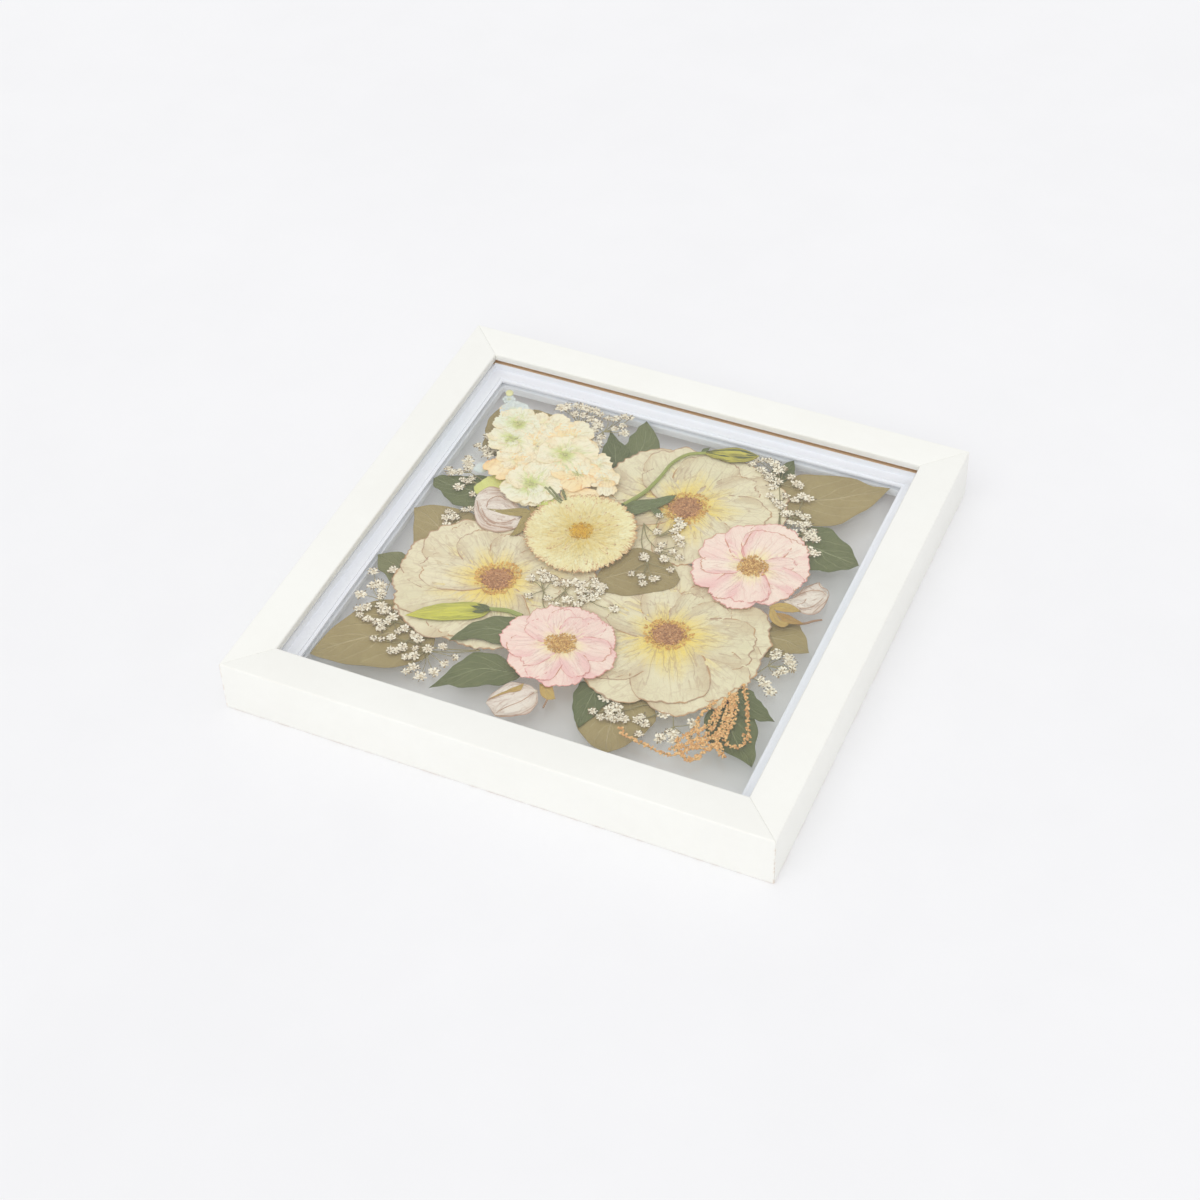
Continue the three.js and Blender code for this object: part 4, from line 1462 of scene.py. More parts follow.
@dataclass
class Chrysanthemum:
    """A flat double flower of fine rays with a scorched rim and a golden eye.

    The outermost whorl is scorched, and so is scorched_share of the second and stray_scorch of the rest.
    """

    node: str = "chrysanthemum"
    centre: Point = (-23.5, 16.5)
    outer: float = 29.4
    inner: float = 5.2
    whorls: int = 13
    outer_rays: int = 165
    inner_rays: int = 46
    outer_width: float = 1.5
    inner_width: float = 0.5
    ray_length: float = 14.0
    rise: float = 0.72
    scorched_share: float = 0.5
    stray_scorch: float = 0.04
    eye: float = 4.9
    eye_grains: int = 230
    eye_threads: int = 210
    eye_height: float = 1.04
    ray_thickness: float = 0.08

    def build(self) -> None:
        """Makes the flower in place of its node."""
        ray = Template.grid(7, 2)
        petal = PetalFinish(
            "petal_yellow", (228, 196, 84), (253, 250, 208), (243, 234, 162), (236, 206, 104),
            (236, 212, 140), (226, 178, 104), (238, 218, 150), base_reach=0.35, shade_strength=0.3,
            margin_width=0.06, margin_strength=0.2, vein_count=5, fold_strength=0.1, crease_strength=0.08,
        ).make()
        scorched = PetalFinish(
            "petal_yellow_scorched", (240, 218, 140), (250, 240, 194), (230, 200, 136), (236, 216, 140),
            (206, 150, 96), (188, 120, 70), (222, 184, 122), base_reach=0.3, margin_width=0.1,
            margin_strength=0.75, vein_count=5, vein_strength=0.4, fold_strength=0.2, crease_strength=0.15,
        ).make()
        gold = GrainFinish("eye_gold", (166, 110, 0), (244, 204, 60)).make()
        piece = Piece(self.node, petal, scorched, gold)
        draw = piece.draw
        outline = ripple(draw, 4, 1.2)
        for number in range(self.whorls):
            share = number / (self.whorls - 1)
            reach = self.outer + (self.inner - self.outer) * share**1.35
            whorl = Whorl(
                count=round(self.outer_rays + (self.inner_rays - self.outer_rays) * share),
                start=max(reach - self.ray_length, 0.8), reach=reach,
                width=self.outer_width + (self.inner_width - self.outer_width) * share,
                rise=self.rise * share,
            )
            scorch = self.scorched_share if number == 1 else self.stray_scorch
            for step in range(whorl.count):
                bearing = (step + 0.5 * (number % 2) + draw.uniform(-0.35, 0.35)) * math.tau / whorl.count
                far = whorl.reach * (1 + 0.022 * float(outline(bearing))) + draw.uniform(-0.8, 0.4)
                burnt = number == 0 or draw.random() < scorch
                shade = min(1.0, max(0.0, 1.05 - 1.3 * share**1.7 + draw.uniform(-0.3, 0.25)))
                self._add_ray(piece, ray, whorl, bearing, far, scorched if burnt else petal, shade)
        self._add_eye(piece, gold)
        piece.build("petal_yellow", self.ray_thickness)

    def _add_ray(
        self, piece: Piece, ray: Template, whorl: Whorl, bearing: float, far: float, finish: Material,
        shade: float,
    ) -> None:
        """Adds one ray: a narrow strap with a rounded end and a slight sideways bend.

        Args:
            piece: The piece to add it to.
            ray: The ray template.
            whorl: The ring that it stands in.
            bearing: Its bearing in radians.
            far: How far from the centre it ends.
            finish: Its material.
            shade: Its tint.
        """
        along, across = ray.along, ray.across
        width = whorl.width * (0.5 + 0.5 * np.sin(math.pi * np.minimum(along * 0.9, 1)))
        width = width * np.sqrt(np.maximum(0.16, 1 - along**9))
        out = whorl.start + (far - whorl.start) * along - 0.4 * whorl.width * across**2 * along**4
        side = across * width + piece.draw.uniform(-1.6, 1.6) * along**2
        plan = turned(out, side, bearing, self.centre)
        lift = whorl.rise + 0.06 * np.abs(across) + piece.draw.uniform(0, 0.1) + 0.04 * np.sin(along * 7)
        piece.add(ray, np.column_stack([plan, piece.height + 0.1 + lift]), finish, shade, sheet=True)

    def _add_eye(self, piece: Piece, gold: Material) -> None:
        """Adds the threads and grains of the eye.

        Args:
            piece: The piece to add them to.
            gold: Their material.
        """
        draw, height = piece.draw, piece.height + self.eye_height
        for _ in range(self.eye_threads):
            bearing, reach = draw.uniform(0, math.tau), self.eye * draw.uniform(0.7, 2.3)
            foot = (*polar(self.centre, bearing, 1.5), height)
            head = (*polar(self.centre, bearing, reach), height - 0.02)
            add_thread(piece, foot, head, 0.2, gold, draw.uniform(0.5, 1.2))
        for _ in range(self.eye_grains):
            bearing, reach = draw.uniform(0, math.tau), self.eye * 1.35 * draw.uniform(0, 1) ** 0.8
            place = (*polar(self.centre, bearing, reach), height + 0.02)
            size = (draw.uniform(0.4, 0.8), 0.3, 0.26)
            add_bead(piece, place, size, draw.uniform(0, 3), gold, draw.uniform(0, 0.9))


@dataclass(frozen=True)
class Blossom:
    """One larkspur flower, with its first petal's bearing in degrees.

    Hue runs from greenish 0 to peach 1, and a heart is an open middle with green veins.
    """

    centre: Point
    reach: float
    turn: float
    hue: float
    heart: bool = False


@dataclass
class Larkspur:
    """A spike of overlapping pale blossoms with green veins, and its closed tip."""

    node: str = "larkspur_spray"
    outer_petals: int = 5
    inner_petals: int = 3
    heart_threads: int = 16
    blossoms: tuple[Blossom, ...] = (
        Blossom((-99, 91.5), 7, 20, -0.4), Blossom((-60, 82), 14, 40, 0.85),
        Blossom((-74, 85), 12, 10, 0.6),
        Blossom((-79, 54), 12.5, 30, 0.9), Blossom((-72, 68), 15, 20, 0.7), Blossom((-29, 58), 9.5, 5, 1.0),
        Blossom((-37, 66), 11, 50, 0.5), Blossom((-88.8, 81), 13.5, 36, 0.0, True),
        Blossom((-87, 68), 11.5, 0, 0.2, True), Blossom((-43, 56), 13.5, 30, 1.0, True),
        Blossom((-62, 39.5), 15.5, 10, 0.55, True), Blossom((-55.6, 67), 17, 35, 0.6, True),
    )
    tip: tuple[Point, ...] = ((-92, 86), (-96, 92), (-101, 97), (-104, 100.5))
    bud: Point = (-104.8, 103)
    stalks: tuple[tuple[Point, ...], ...] = (
        ((-54.3, 40.2), (-41.9, 32.2)), ((-52.4, 41), (-42, 34)), ((-45, 41.5), (-40.5, 35.5)),
    )

    def build(self) -> None:
        """Makes the spray in place of its node."""
        sheet = Template.grid(10, 20)
        ivory = PetalFinish(
            "petal_ivory", (238, 241, 216), (253, 237, 200), (246, 222, 174), (236, 230, 168),
            (216, 192, 146), (240, 190, 120), (226, 218, 160), base_strength=0.6, margin_width=0.03,
            margin_strength=0.45, vein_count=9, vein_strength=0.4, fold_strength=0.4,
        )
        heart = replace(
            ivory, name="petal_heart", base=(206, 216, 124), vein=(204, 210, 134), base_reach=0.68,
            base_strength=0.95, shade_strength=0.55, vein_strength=0.55,
        ).make()
        lime = PetalFinish(
            "petal_lime", (226, 226, 142), (212, 216, 118), (204, 208, 112), (196, 204, 104), (190, 192, 112),
            (196, 190, 110), (196, 200, 116), fold_strength=0.2,
        ).make()
        frost = PetalFinish(
            "petal_frost", (226, 233, 226), (220, 229, 226), (208, 218, 214), (224, 230, 200),
            (196, 202, 184), (196, 200, 186), (206, 216, 214), fold_strength=0.2,
        ).make()
        peach = PetalFinish(
            "petal_peach", (253, 238, 200), (251, 228, 174), (248, 214, 152), (240, 222, 150),
            (232, 178, 118), (238, 162, 96), (246, 204, 150), base_strength=0.7, shade_strength=0.8,
            margin_width=0.05, margin_strength=0.5, vein_count=12, fold_strength=0.4,
        ).make()
        green = GrainFinish("larkspur_green", (92, 98, 56), (226, 224, 166)).make()
        pale = ivory.make()
        piece = Piece(self.node, pale, green, lime, frost, peach, heart)
        for order, blossom in enumerate(self.blossoms):
            self._add_blossom(piece, sheet, blossom, order, heart if blossom.heart else pale, peach)
            self._add_heart(piece, blossom, order, green)
        for bearing, reach in ((-72, 15.5), (-88, 14), (-50, 14)):
            add_petal(piece, sheet, Petal(bearing, reach, 52, 0, 0.64), (-62, 39.5), 0.4, 0.05, tint=0.6)
        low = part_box("rosebud_mauve")[0].z / MM - 0.4 - piece.height
        add_petal(piece, sheet, Petal(150, 16.5, 70, 0, 0.6), (-73.5, 30), finish=lime, tint=0.3, lift=low)
        add_petal(piece, sheet, Petal(160, 8.5, 50, 0, 0.6), (-89, 43), finish=frost, lift=low)
        add_petal(piece, sheet, Petal(62, 14, 50, 0, 0.7), (-53, 25), finish=lime, tint=1.0)
        for bearing, reach, foot in ((14, 17, (-42, 39.5)), (34, 13, (-46, 38)), (-8, 14, (-43, 38))):
            add_petal(piece, sheet, Petal(bearing, reach, 34, 0, 0.6), foot, finish=peach, tint=0.9)
        for route in self.stalks:
            add_stem(piece, route, piece.height + 0.9, 0.8, green, piece.draw.uniform(0.0, 0.25))
        self._add_tip(piece, sheet, green, frost)
        piece.build("petal_ivory", 0.1)

    def _add_tip(self, piece: Piece, sheet: Template, green: Material, frost: Material) -> None:
        """Adds the spike's end: a thin stem, a closed bud and pale petals round both.

        Args:
            piece: The piece to add it to.
            sheet: A grid template.
            green: The stem's and the bud's material.
            frost: The petals' material.
        """
        add_stem(piece, self.tip, piece.height - 0.3, 0.35, green, 0.9)
        add_bead(piece, (*self.bud, piece.height + 0.8), (2.6, 2.2, 0.7), math.radians(-62), green, 1.3, 2)
        for bearing, reach in ((95, 8), (150, 7), (38, 9), (200, 7)):
            shape = Petal(bearing, reach, 44, 0.3, 0.6)
            add_petal(piece, sheet, shape, (-97, 90.5), 0.4, finish=frost, tint=0.1)
        foot = (self.bud[0] + 1.8, self.bud[1] - 4.6)
        for bearing in (20, 85, 150, 195, 240, 300):
            add_petal(piece, sheet, Petal(bearing, 3.6, 46, 0, 0.5), foot, 0.2, finish=frost, lift=0.1)

    def _add_blossom(
        self, piece: Piece, sheet: Template, blossom: Blossom, order: int, pale: Material, peach: Material
    ) -> None:
        """Adds a blossom's outer petals and then its inner ones.

        Args:
            piece: The piece to add them to.
            sheet: A grid template.
            blossom: The blossom.
            order: How many blossoms lie under it.
            pale: The material of most petals.
            peach: The material of the petals that turned peach.
        """
        draw = piece.draw
        for step in range(self.outer_petals + self.inner_petals):
            inner = step >= self.outer_petals
            count = self.inner_petals if inner else self.outer_petals
            bearing = blossom.turn + (step + 0.5 * inner) * 360 / count + draw.uniform(-12, 12)
            reach = blossom.reach * draw.uniform(0.74, 1.16) * (0.6 if inner else 1)
            rise = order * 0.065 + step % 3 * 0.07 + 0.12 * inner
            shape = Petal(bearing, reach, draw.uniform(46, 68), rise, 0.64)
            slip = 0.5 if blossom.heart else 0.26 * blossom.reach
            foot = tuple(place + draw.uniform(-slip, slip) for place in blossom.centre)
            tint = min(1.0, max(0.0, blossom.hue + draw.uniform(-0.4, 0.35)))
            finish = peach if blossom.hue + draw.uniform(-0.5, 0.05) > 0.62 else pale
            add_petal(piece, sheet, shape, foot, 0.4, 0.05, 0.16, finish, tint)

    def _add_heart(self, piece: Piece, blossom: Blossom, order: int, green: Material) -> None:
        """Adds the fine veins of an open middle, where a blossom has one.

        Args:
            piece: The piece to add them to.
            blossom: The blossom.
            order: How many blossoms lie under it.
            green: Their material.
        """
        draw, height = piece.draw, piece.height + 0.75 + order * 0.055
        for _ in range(self.heart_threads if blossom.heart else 0):
            bearing = draw.uniform(0, math.tau)
            head = (*polar(blossom.centre, bearing, draw.uniform(2.5, 8)), height + 0.05)
            add_thread(piece, (*blossom.centre, height), head, 0.22, green, draw.uniform(0.6, 1.15))


def add_stem(
    piece: Piece, points: Sequence[Point], height: float, width: float, finish: Material, tint: float,
    taper: float = 0.7, steps: int = 6,
) -> None:
    """Sweeps a six-sided stem through plan points.

    Args:
        piece: The piece to add it to.
        points: The stem's route.
        height: The height of its middle.
        width: Its half width at the first point.
        finish: Its material.
        tint: Its shade.
        taper: Its width at the last point, as a share of that at the first.
        steps: How many lengths it has between two points.
    """
    sides = 6
    shares = np.linspace(0, 1, steps * (len(points) - 1) + 1)
    route = smooth_curve(points, shares)
    way = np.gradient(route, axis=0)
    way /= np.maximum(np.linalg.norm(way, axis=1, keepdims=True), 1e-9)
    half = (width * (1 + (taper - 1) * shares))[:, None]
    turns = np.arange(sides) * math.tau / sides
    left = np.cos(turns) * half
    rows = [
        np.column_stack([place + np.outer(shift, (-ahead[1], ahead[0])), height + reach * np.sin(turns)])
        for place, shift, ahead, reach in zip(route, left, way, half)
    ]
    faces = [
        (i * sides + k, i * sides + (k + 1) % sides, (i + 1) * sides + (k + 1) % sides, (i + 1) * sides + k)
        for i in range(len(route) - 1)
        for k in range(sides)
    ]
    last = (len(route) - 1) * sides
    faces += [tuple(range(sides))[::-1], tuple(range(last, last + sides))]
    corners = np.concatenate(rows)
    uv = np.column_stack([np.repeat(shares, sides), np.tile(np.arange(sides) / sides, len(route))])
    piece.add(Template(corners, faces, uv), corners, finish, tint)


# ---- Buds ----


@dataclass(frozen=True)
class Bud:
    """A closed flower: sheets from the lowest to the highest, sepals and stems."""

    node: str
    wraps: tuple[Leaf, ...]
    sepals: tuple[Leaf, ...] = ()
    stems: tuple[tuple[Point, ...], ...] = ()
    stem_width: float = 0.6
    crown: float = 0.45
    rims: tuple[tuple[Point, ...], ...] = ()


def wrap(base: Point, tip: Point, left: Sequence[Point], right: Sequence[Point], tint: float = 0.5) -> Leaf:
    """One petal or sepal of a bud, as an outline with no node of its own."""
    return Leaf("", OLIVE, base, tip, tuple(left), tuple(right), tint)


ROSEBUDS = (
    Bud("rosebud_mauve", (
        wrap((-60, 22), (-86, 22), [(-57, 8), (-63.3, 2.9), (-73.7, 2.2), (-79.6, 8), (-84, 16)],
             [(-68, 30), (-75.6, 33), (-82.7, 32.5), (-86, 27)], 0.5),
        wrap((-57.5, 18), (-84, 19.3), [(-57.4, 7.4), (-62.9, 5.9), (-69.6, 5), (-77.8, 10)],
             [(-66, 27), (-76, 32), (-84, 28)], 0.2),
        wrap((-58, 18), (-79.4, 15.1), [(-59.1, 11), (-62.7, 8.5), (-68.7, 7), (-74.3, 9.2)],
             [(-66, 25), (-75.2, 28), (-80.5, 22)], 0.8),
        wrap((-58.5, 20), (-77.3, 15.6), [(-62, 12.5), (-70, 10.5)],
             [(-66, 22), (-73, 24.5), (-78.3, 21)], 0.3),
    ), (
        wrap((-51.6, 21), (-76.5, 15.6), [(-55.2, 18), (-61.4, 16), (-67.2, 15)],
             [(-56.6, 23.2), (-63.7, 21), (-68.5, 18)], 0.6),
        wrap((-53, 21), (-56.6, 1.1), [(-51.8, 18.5), (-52, 13.3), (-52, 7.5), (-54, 3.6)],
             [(-56, 19.3), (-57, 15.9), (-56.2, 9.7), (-56.4, 4.6)], 0.4),
        wrap((-52, 21), (-53.6, 31), [(-55, 22.8), (-57, 25), (-56.4, 28)],
             [(-50, 23), (-50.8, 27), (-52.6, 30.8)], 0.9),
    ), rims=(
        ((-84, 19.3), (-77.8, 10.7), (-69.6, 5.3), (-62.9, 6.2), (-58, 8)),
        ((-79.4, 15.1), (-74.3, 9.8), (-68.7, 7.7), (-62.7, 10.2), (-59.5, 14.5)),
        ((-77.3, 17), (-78.3, 22.3), (-75.2, 26.6), (-69.8, 25.5)),
    )),
    Bud("rosebud_right", (
        wrap((88.5, 10.7), (101, 30.2), [(94, 17.8), (95, 23), (97, 26)],
             [(97.9, 7), (105.2, 7.5), (108.9, 18), (106.4, 25)], 0.8),
        wrap((91.4, 12.7), (107.5, 23.5), [(95, 19), (99.4, 23.5), (104, 25.4)],
             [(97.3, 8.2), (102.8, 9.4), (106, 14), (108.2, 20)], 0.0),
        wrap((97, 25), (106.3, 25.8), [(100, 29)], [(101, 23.6)], 0.9),
        wrap((92, 11.5), (104, 10.5), [(96, 14.5), (101, 14)], [(97, 8)], 0.3),
    ), (
        wrap((84, 3), (99.5, 6.8), [(84.5, 5), (89.5, 9.2), (94.7, 9)], [(89.8, 3), (95.2, 4.2)], 0.1),
        wrap((84.5, 3.5), (97.4, -3.3), [(87.6, 2.4), (90, -0.8), (93.2, -3)],
             [(86, -2), (91, -6.6), (95.5, -6.9)], 0.3),
        wrap((88.4, 1), (103.7, -0.8), [(92.8, 2.2), (97, 1.4)], [(93.5, -3), (98.5, -3.2)], 1.0),
    ), (((100.7, -1.6), (104.7, 0.7), (106.8, 2.9), (110.9, 5.8)),), 0.7, rims=(
        ((92, 15), (94.4, 19), (95, 23), (97.1, 25.5), (100.2, 29)),
        ((100.6, 29.6), (102.1, 27), (106.1, 26), (108.2, 23), (108.5, 19), (107, 14.1), (105.2, 8)),
        ((93, 14.5), (95.4, 19), (99.4, 22.7), (104, 24), (107, 22)),
        ((97.9, 8.6), (102, 10.5), (104.6, 14.3), (106.4, 20)),
        ((96, 10.5), (98.5, 13), (98.8, 16)),
    )),
    Bud("rosebud_front", (
        wrap((2, -91), (-17.6, -107.5),
             [(5, -98), (4, -105.6), (-4.9, -111.8), (-9.3, -113.6), (-13, -111)],
             [(-4, -89), (-12.1, -90.9), (-16.5, -98.2), (-17.9, -104)], 0.7),
        wrap((2, -92), (-10, -113), [(4.5, -100), (1, -107.5), (-4.9, -111.2)],
             [(-6, -96), (-12, -103), (-13, -109)], 0.2),
        wrap((-4, -90), (-17.7, -105), [(-7, -97), (-12.5, -102.4)], [(-12.1, -90.9), (-16.2, -98.2)], 0.4),
    ), (
        wrap((-6, -89.5), (-17, -105), [(-5.5, -94.1), (-11, -98.4)], [(-9.5, -94), (-14, -100)], 0.3),
        wrap((1, -87), (12.2, -93), [(5, -85)], [(5, -93.5), (9, -95)], 0.2),
    ), (((4, -89), (8, -93), (9, -100)),), rims=(
        ((-6, -94), (-11, -98.6), (-15, -103), (-17.4, -106.5)),
        ((1, -93), (-2, -100), (-8, -108), (-10, -112)),
    )),
)

LISIANTHUS = (
    Bud("lisianthus_bud_left", (
        wrap((-42, -51), (-80, -70.2), [(-44, -56), (-54, -63), (-66, -68)],
             [(-50, -48.5), (-60, -52), (-72, -60)], 0.5),
        wrap((-44, -51.5), (-79, -69.5), [(-50, -58.5), (-60, -64.5)], [(-54, -53), (-66, -60)], 0.9),
    ), (
        wrap((-42, -50.2), (-53, -52.4), [(-47, -52.8)], [(-47, -50.4)], 1.0),
        wrap((-42.2, -51), (-52.5, -56.6), [(-46, -55)], [(-47, -53)], 0.9),
        wrap((-42.6, -49.8), (-50.5, -49.8), [(-46, -50.4)], [(-46, -48.8)], 0.8),
    ), (((-26, -49), (-34, -48.2), (-43, -50.5)),), 1.35, 0.85),
    Bud("lisianthus_bud_top", (
        wrap((10, 98.5), (39, 107.6), [(18, 105.5), (27, 109.8), (34, 109)],
             [(19, 96.8), (30, 98.2), (36, 102)], 0.5),
        wrap((12, 99), (38.5, 107), [(20, 104), (29, 107.5)], [(22, 99.5), (32, 102)], 0.1),
    ), (
        wrap((12, 100), (38, 107), [(20, 104.8), (29, 108.2)], [(20, 103.6), (29, 106.6)], 1.0),
        wrap((12, 99.5), (38, 106.5), [(20, 102.4), (30, 105.4)], [(20, 101.2), (30, 103.8)], 1.0),
        wrap((12, 99), (37, 105), [(21, 100.6), (31, 103)], [(21, 99.4), (31, 101.4)], 1.0),
        wrap((9.5, 98), (12.5, 103.5), [(9.5, 101)], [(12.5, 100.5)], 0.1),
        wrap((-14, 45), (10.5, 62), [(-7, 50.5), (1, 55), (6, 59.5)], [(-6, 38.5), (2, 46), (9, 55)], 0.35),
        wrap((1, 48), (11, 43.5), [(6, 48.5)], [(6, 44)], 0.3),
    ), (((-12, 45), (-6, 58), (-3, 72), (-1, 86), (4, 94.5), (12, 99)),), 1.15, 0.85),
)


@dataclass
class Buds:
    """The rosebuds and the green lisianthus buds."""

    rosebuds: tuple[Bud, ...]
    lisianthus: tuple[Bud, ...]
    layer: float = 0.16

    def build(self) -> None:
        """Makes each bud in place of its node."""
        mauve = PetalFinish(
            "petal_mauve", (240, 231, 215), (231, 219, 205), (222, 206, 188), (220, 206, 172),
            (182, 140, 116), (170, 126, 86), (206, 178, 160), base_reach=0.3, margin_width=0.05,
            margin_strength=0.75, vein_count=20, vein_strength=0.3, crease_strength=0.25,
        ).make()
        gold = LeafFinish("sepal_gold", (208, 182, 100), (166, 124, 62), (224, 202, 134), pairs=3).make()
        brown = GrainFinish("stalk_brown", (118, 92, 60), (192, 152, 122)).make()
        drab = LeafFinish("sepal_drab", (184, 166, 98), (152, 132, 74), (204, 186, 124), pairs=3).make()
        fresh = PetalFinish(
            "bud_green", (218, 212, 80), (204, 202, 72), (182, 184, 66), (92, 96, 50), (150, 150, 62),
            (118, 122, 48), (146, 148, 56), base_reach=0.42, shade_strength=0.6, margin_width=0.04,
            margin_strength=0.6, vein_count=13, vein_strength=0.6, fold_strength=0.6,
        ).make()
        striped = PetalFinish(
            "bud_striped", (214, 204, 82), (198, 190, 70), (168, 156, 60), (136, 128, 56), (100, 88, 38),
            (92, 80, 36), (104, 94, 38), base_reach=0.3, shade_strength=0.7, margin_width=0.05, vein_count=9,
            vein_strength=0.9, fold_strength=0.6,
        ).make()
        leafy = LeafFinish("sepal_green", (118, 132, 86), (96, 98, 52), (150, 162, 118), pairs=4).make()
        stalk = GrainFinish("stalk_green", (136, 146, 76), (170, 178, 100), 240).make()
        self._build_all(self.rosebuds[:1], "petal_mauve", mauve, drab, brown)
        self._build_all(self.rosebuds[1:], "petal_mauve", mauve, gold, brown)
        self._build_all(self.lisianthus[:1], "bud_green", fresh, leafy, stalk)
        self._build_all(self.lisianthus[1:], "bud_green", striped, leafy, stalk)

    def _build_all(
        self, buds: Sequence[Bud], slot: str, petals: Material, sepals: Material, stems: Material
    ) -> None:
        """Makes some buds that share their materials: wraps, then sepals, then stems.

        Args:
            buds: The buds.
            slot: Passed on to each piece's build, which does not use it.
            petals: The wraps' material.
            sepals: The sepals' material.
            stems: The material of the stems and of the wraps' rims.
        """
        sheet, small = Template.grid(22, 12), Template.grid(12, 6)
        for bud in buds:
            piece = Piece(bud.node, petals, sepals, stems)
            top = self.layer * len(bud.wraps)
            for order, outline in enumerate(bud.wraps):
                add_leaf(piece, sheet, outline, self.layer * order, bud.crown, 0.2)
            for outline in bud.sepals:
                add_leaf(piece, small, outline, top + 0.3, 0.1, 0.1, sepals)
            for route in bud.rims:
                add_stem(piece, route, piece.height + top + bud.crown, 0.18, stems, 1.15, 0.8)
            for route in bud.stems:
                add_stem(piece, route, piece.height + 0.5, bud.stem_width, stems, 0.6)
            piece.build(slot)


# ---- Baby's breath ----


@dataclass(frozen=True)
class Spray:
    """A forked stem with florets: the root, the forks, and each floret's place."""

    node: str
    root: Point
    forks: tuple[Point, ...]
    florets: tuple[Point, ...]


SPRAYS = (
    Spray("babys_breath_top", (-52, 80), ((-60, 96), (-54, 94), (-46, 96)), (
        (-75, 105), (-72.5, 107), (-68, 110), (-65, 110), (-62, 110), (-60, 110), (-57, 110), (-53, 108),
        (-61, 104), (-48, 106.5), (-44, 108), (-40, 111), (-37, 111.5), (-38, 104), (-35, 99), (-52, 101),
        (-56, 102.5), (-50, 99), (-68, 96), (-59, 95), (-51, 95), (-45, 91), (-45, 86), (-49, 86),
        (-44, 83), (-66, 103), (-41, 100),
    )),
    Spray("babys_breath_right", (72, 50), ((56, 92), (62, 80), (70, 70), (80, 60), (72, 84)), (
        (50, 93), (52, 101), (64, 95), (68, 83), (55, 81), (67, 71), (79, 67), (83, 57), (38, 105),
        (42, 106), (45.5, 106.5), (49, 105), (54, 104), (37.5, 101), (43.5, 98.5), (47, 96), (50, 96),
        (55, 93), (60, 99), (67, 94), (70.5, 87), (74.5, 86.5), (54, 88), (62.5, 84), (59, 78), (63, 76),
        (69, 72), (73, 74), (77.5, 72.5), (72, 66), (76, 66), (81, 68), (80, 63), (85, 64), (86, 60),
        (88, 59), (76, 59), (91.5, 49), (88, 50), (84, 61),
    )),
    Spray("babys_breath_right_low", (90, -42), ((97, -32), (98, -43)), (
        (98, -22), (104, -23), (109, -30), (105, -33), (103, -36), (97, -42), (100, -44), (104, -48),
        (98, -25), (106, -26), (108, -28),
    )),
    Spray("babys_breath_bottom", (62, -72), ((44, -86), (56, -86), (70, -86)), (
        (33, -82), (31, -92), (36, -94), (38, -88), (41, -86), (40, -92), (43, -93), (47, -91), (54, -86),
        (57, -90), (57, -97), (63, -81), (68, -94), (70, -90), (73, -95), (78, -81), (80, -90), (39, -84),
        (44, -89), (53, -89), (72, -91), (67, -96),
    )),
    Spray("babys_breath_lower_left", (-36, -76), ((-60, -86), (-72, -84), (-84, -74), (-96, -64)), (
        (-101, -42), (-110, -47), (-106, -56), (-101, -55), (-108, -64), (-98, -62), (-95, -67), (-91, -69),
        (-101, -71), (-104, -73), (-102, -77), (-86, -67), (-86, -72), (-89, -79), (-88, -81), (-77, -77),
        (-67, -81), (-80, -85), (-84, -88), (-88, -89), (-72, -89), (-66, -87), (-76, -93), (-67, -94),
        (-60, -85), (-54, -81), (-45, -85), (-48, -91), (-61, -99), (-63, -103), (-50, -98), (-55, -103),
        (-97, -78), (-93, -71), (-70, -79), (-99, -59), (-104, -54), (-64, -92), (-87, -76), (-92, -78),
        (-79, -80), (-74, -92),
    )),
    Spray("babys_breath_upper_left", (-82, 30), ((-92, 34), (-98, 40)), (
        (-107, 36), (-110, 38), (-103, 38), (-99, 33), (-96, 33), (-98.5, 27), (-89, 25), (-95, 36),
        (-104, 50), (-103, 47), (-101, 44), (-100, 42),
    )),
    Spray("babys_breath_left", (-78, -4), ((-86, 4), (-90, 6)), (
        (-95, 8), (-94, 3), (-90, 5), (-85, 2), (-91, -2), (-85, 14), (-88, 12), (-92, 7),
    )),
    Spray("babys_breath_larkspur", (-84, 52), ((-92, 58), (-94, 64)), (
        (-101, 69), (-103, 60), (-98, 60), (-96, 65), (-94, 60), (-97, 57), (-95, 55), (-99, 58), (-92, 69),
    )),
    Spray("babys_breath_centre", (-14, -43), ((-24, -28), (-14, -24), (-4, -24)), (
        (-33.5, -22.8), (-26.6, -18), (-19.7, -21.7), (-28.8, -34.6), (-19.8, -32.8), (-15.6, -19.1),
        (-7.2, -17.4), (-3.1, -12), (2.3, -15.4), (-1.8, -20.8), (-0.9, -25.9), (-3.9, -30.7),
        (-5.1, -36.7), (-9.4, -36.5), (-14.5, -36), (13.9, -27), (1.7, -23), (-26.7, -20.8), (-11.2, -17.2),
        (-0.6, -14.7), (-6.6, -21.8), (-30, -17), (-23, -18.5), (2.6, -19), (-10, -30), (-4, -26),
    )),
    Spray("babys_breath_centre_right", (3, 36), ((14, 30), (18, 20), (16, 10)), (
        (8.5, 44), (19, 44), (21, 40), (12, 32), (20, 36), (24, 32), (27, 28), (18, 24), (25, 21.5),
        (18, 20), (30, 19), (23, 15), (14, 12), (29, 9), (12, -1), (17, -1), (24, 0), (20, -5), (22, 42),
        (13, 13),
    )),
)


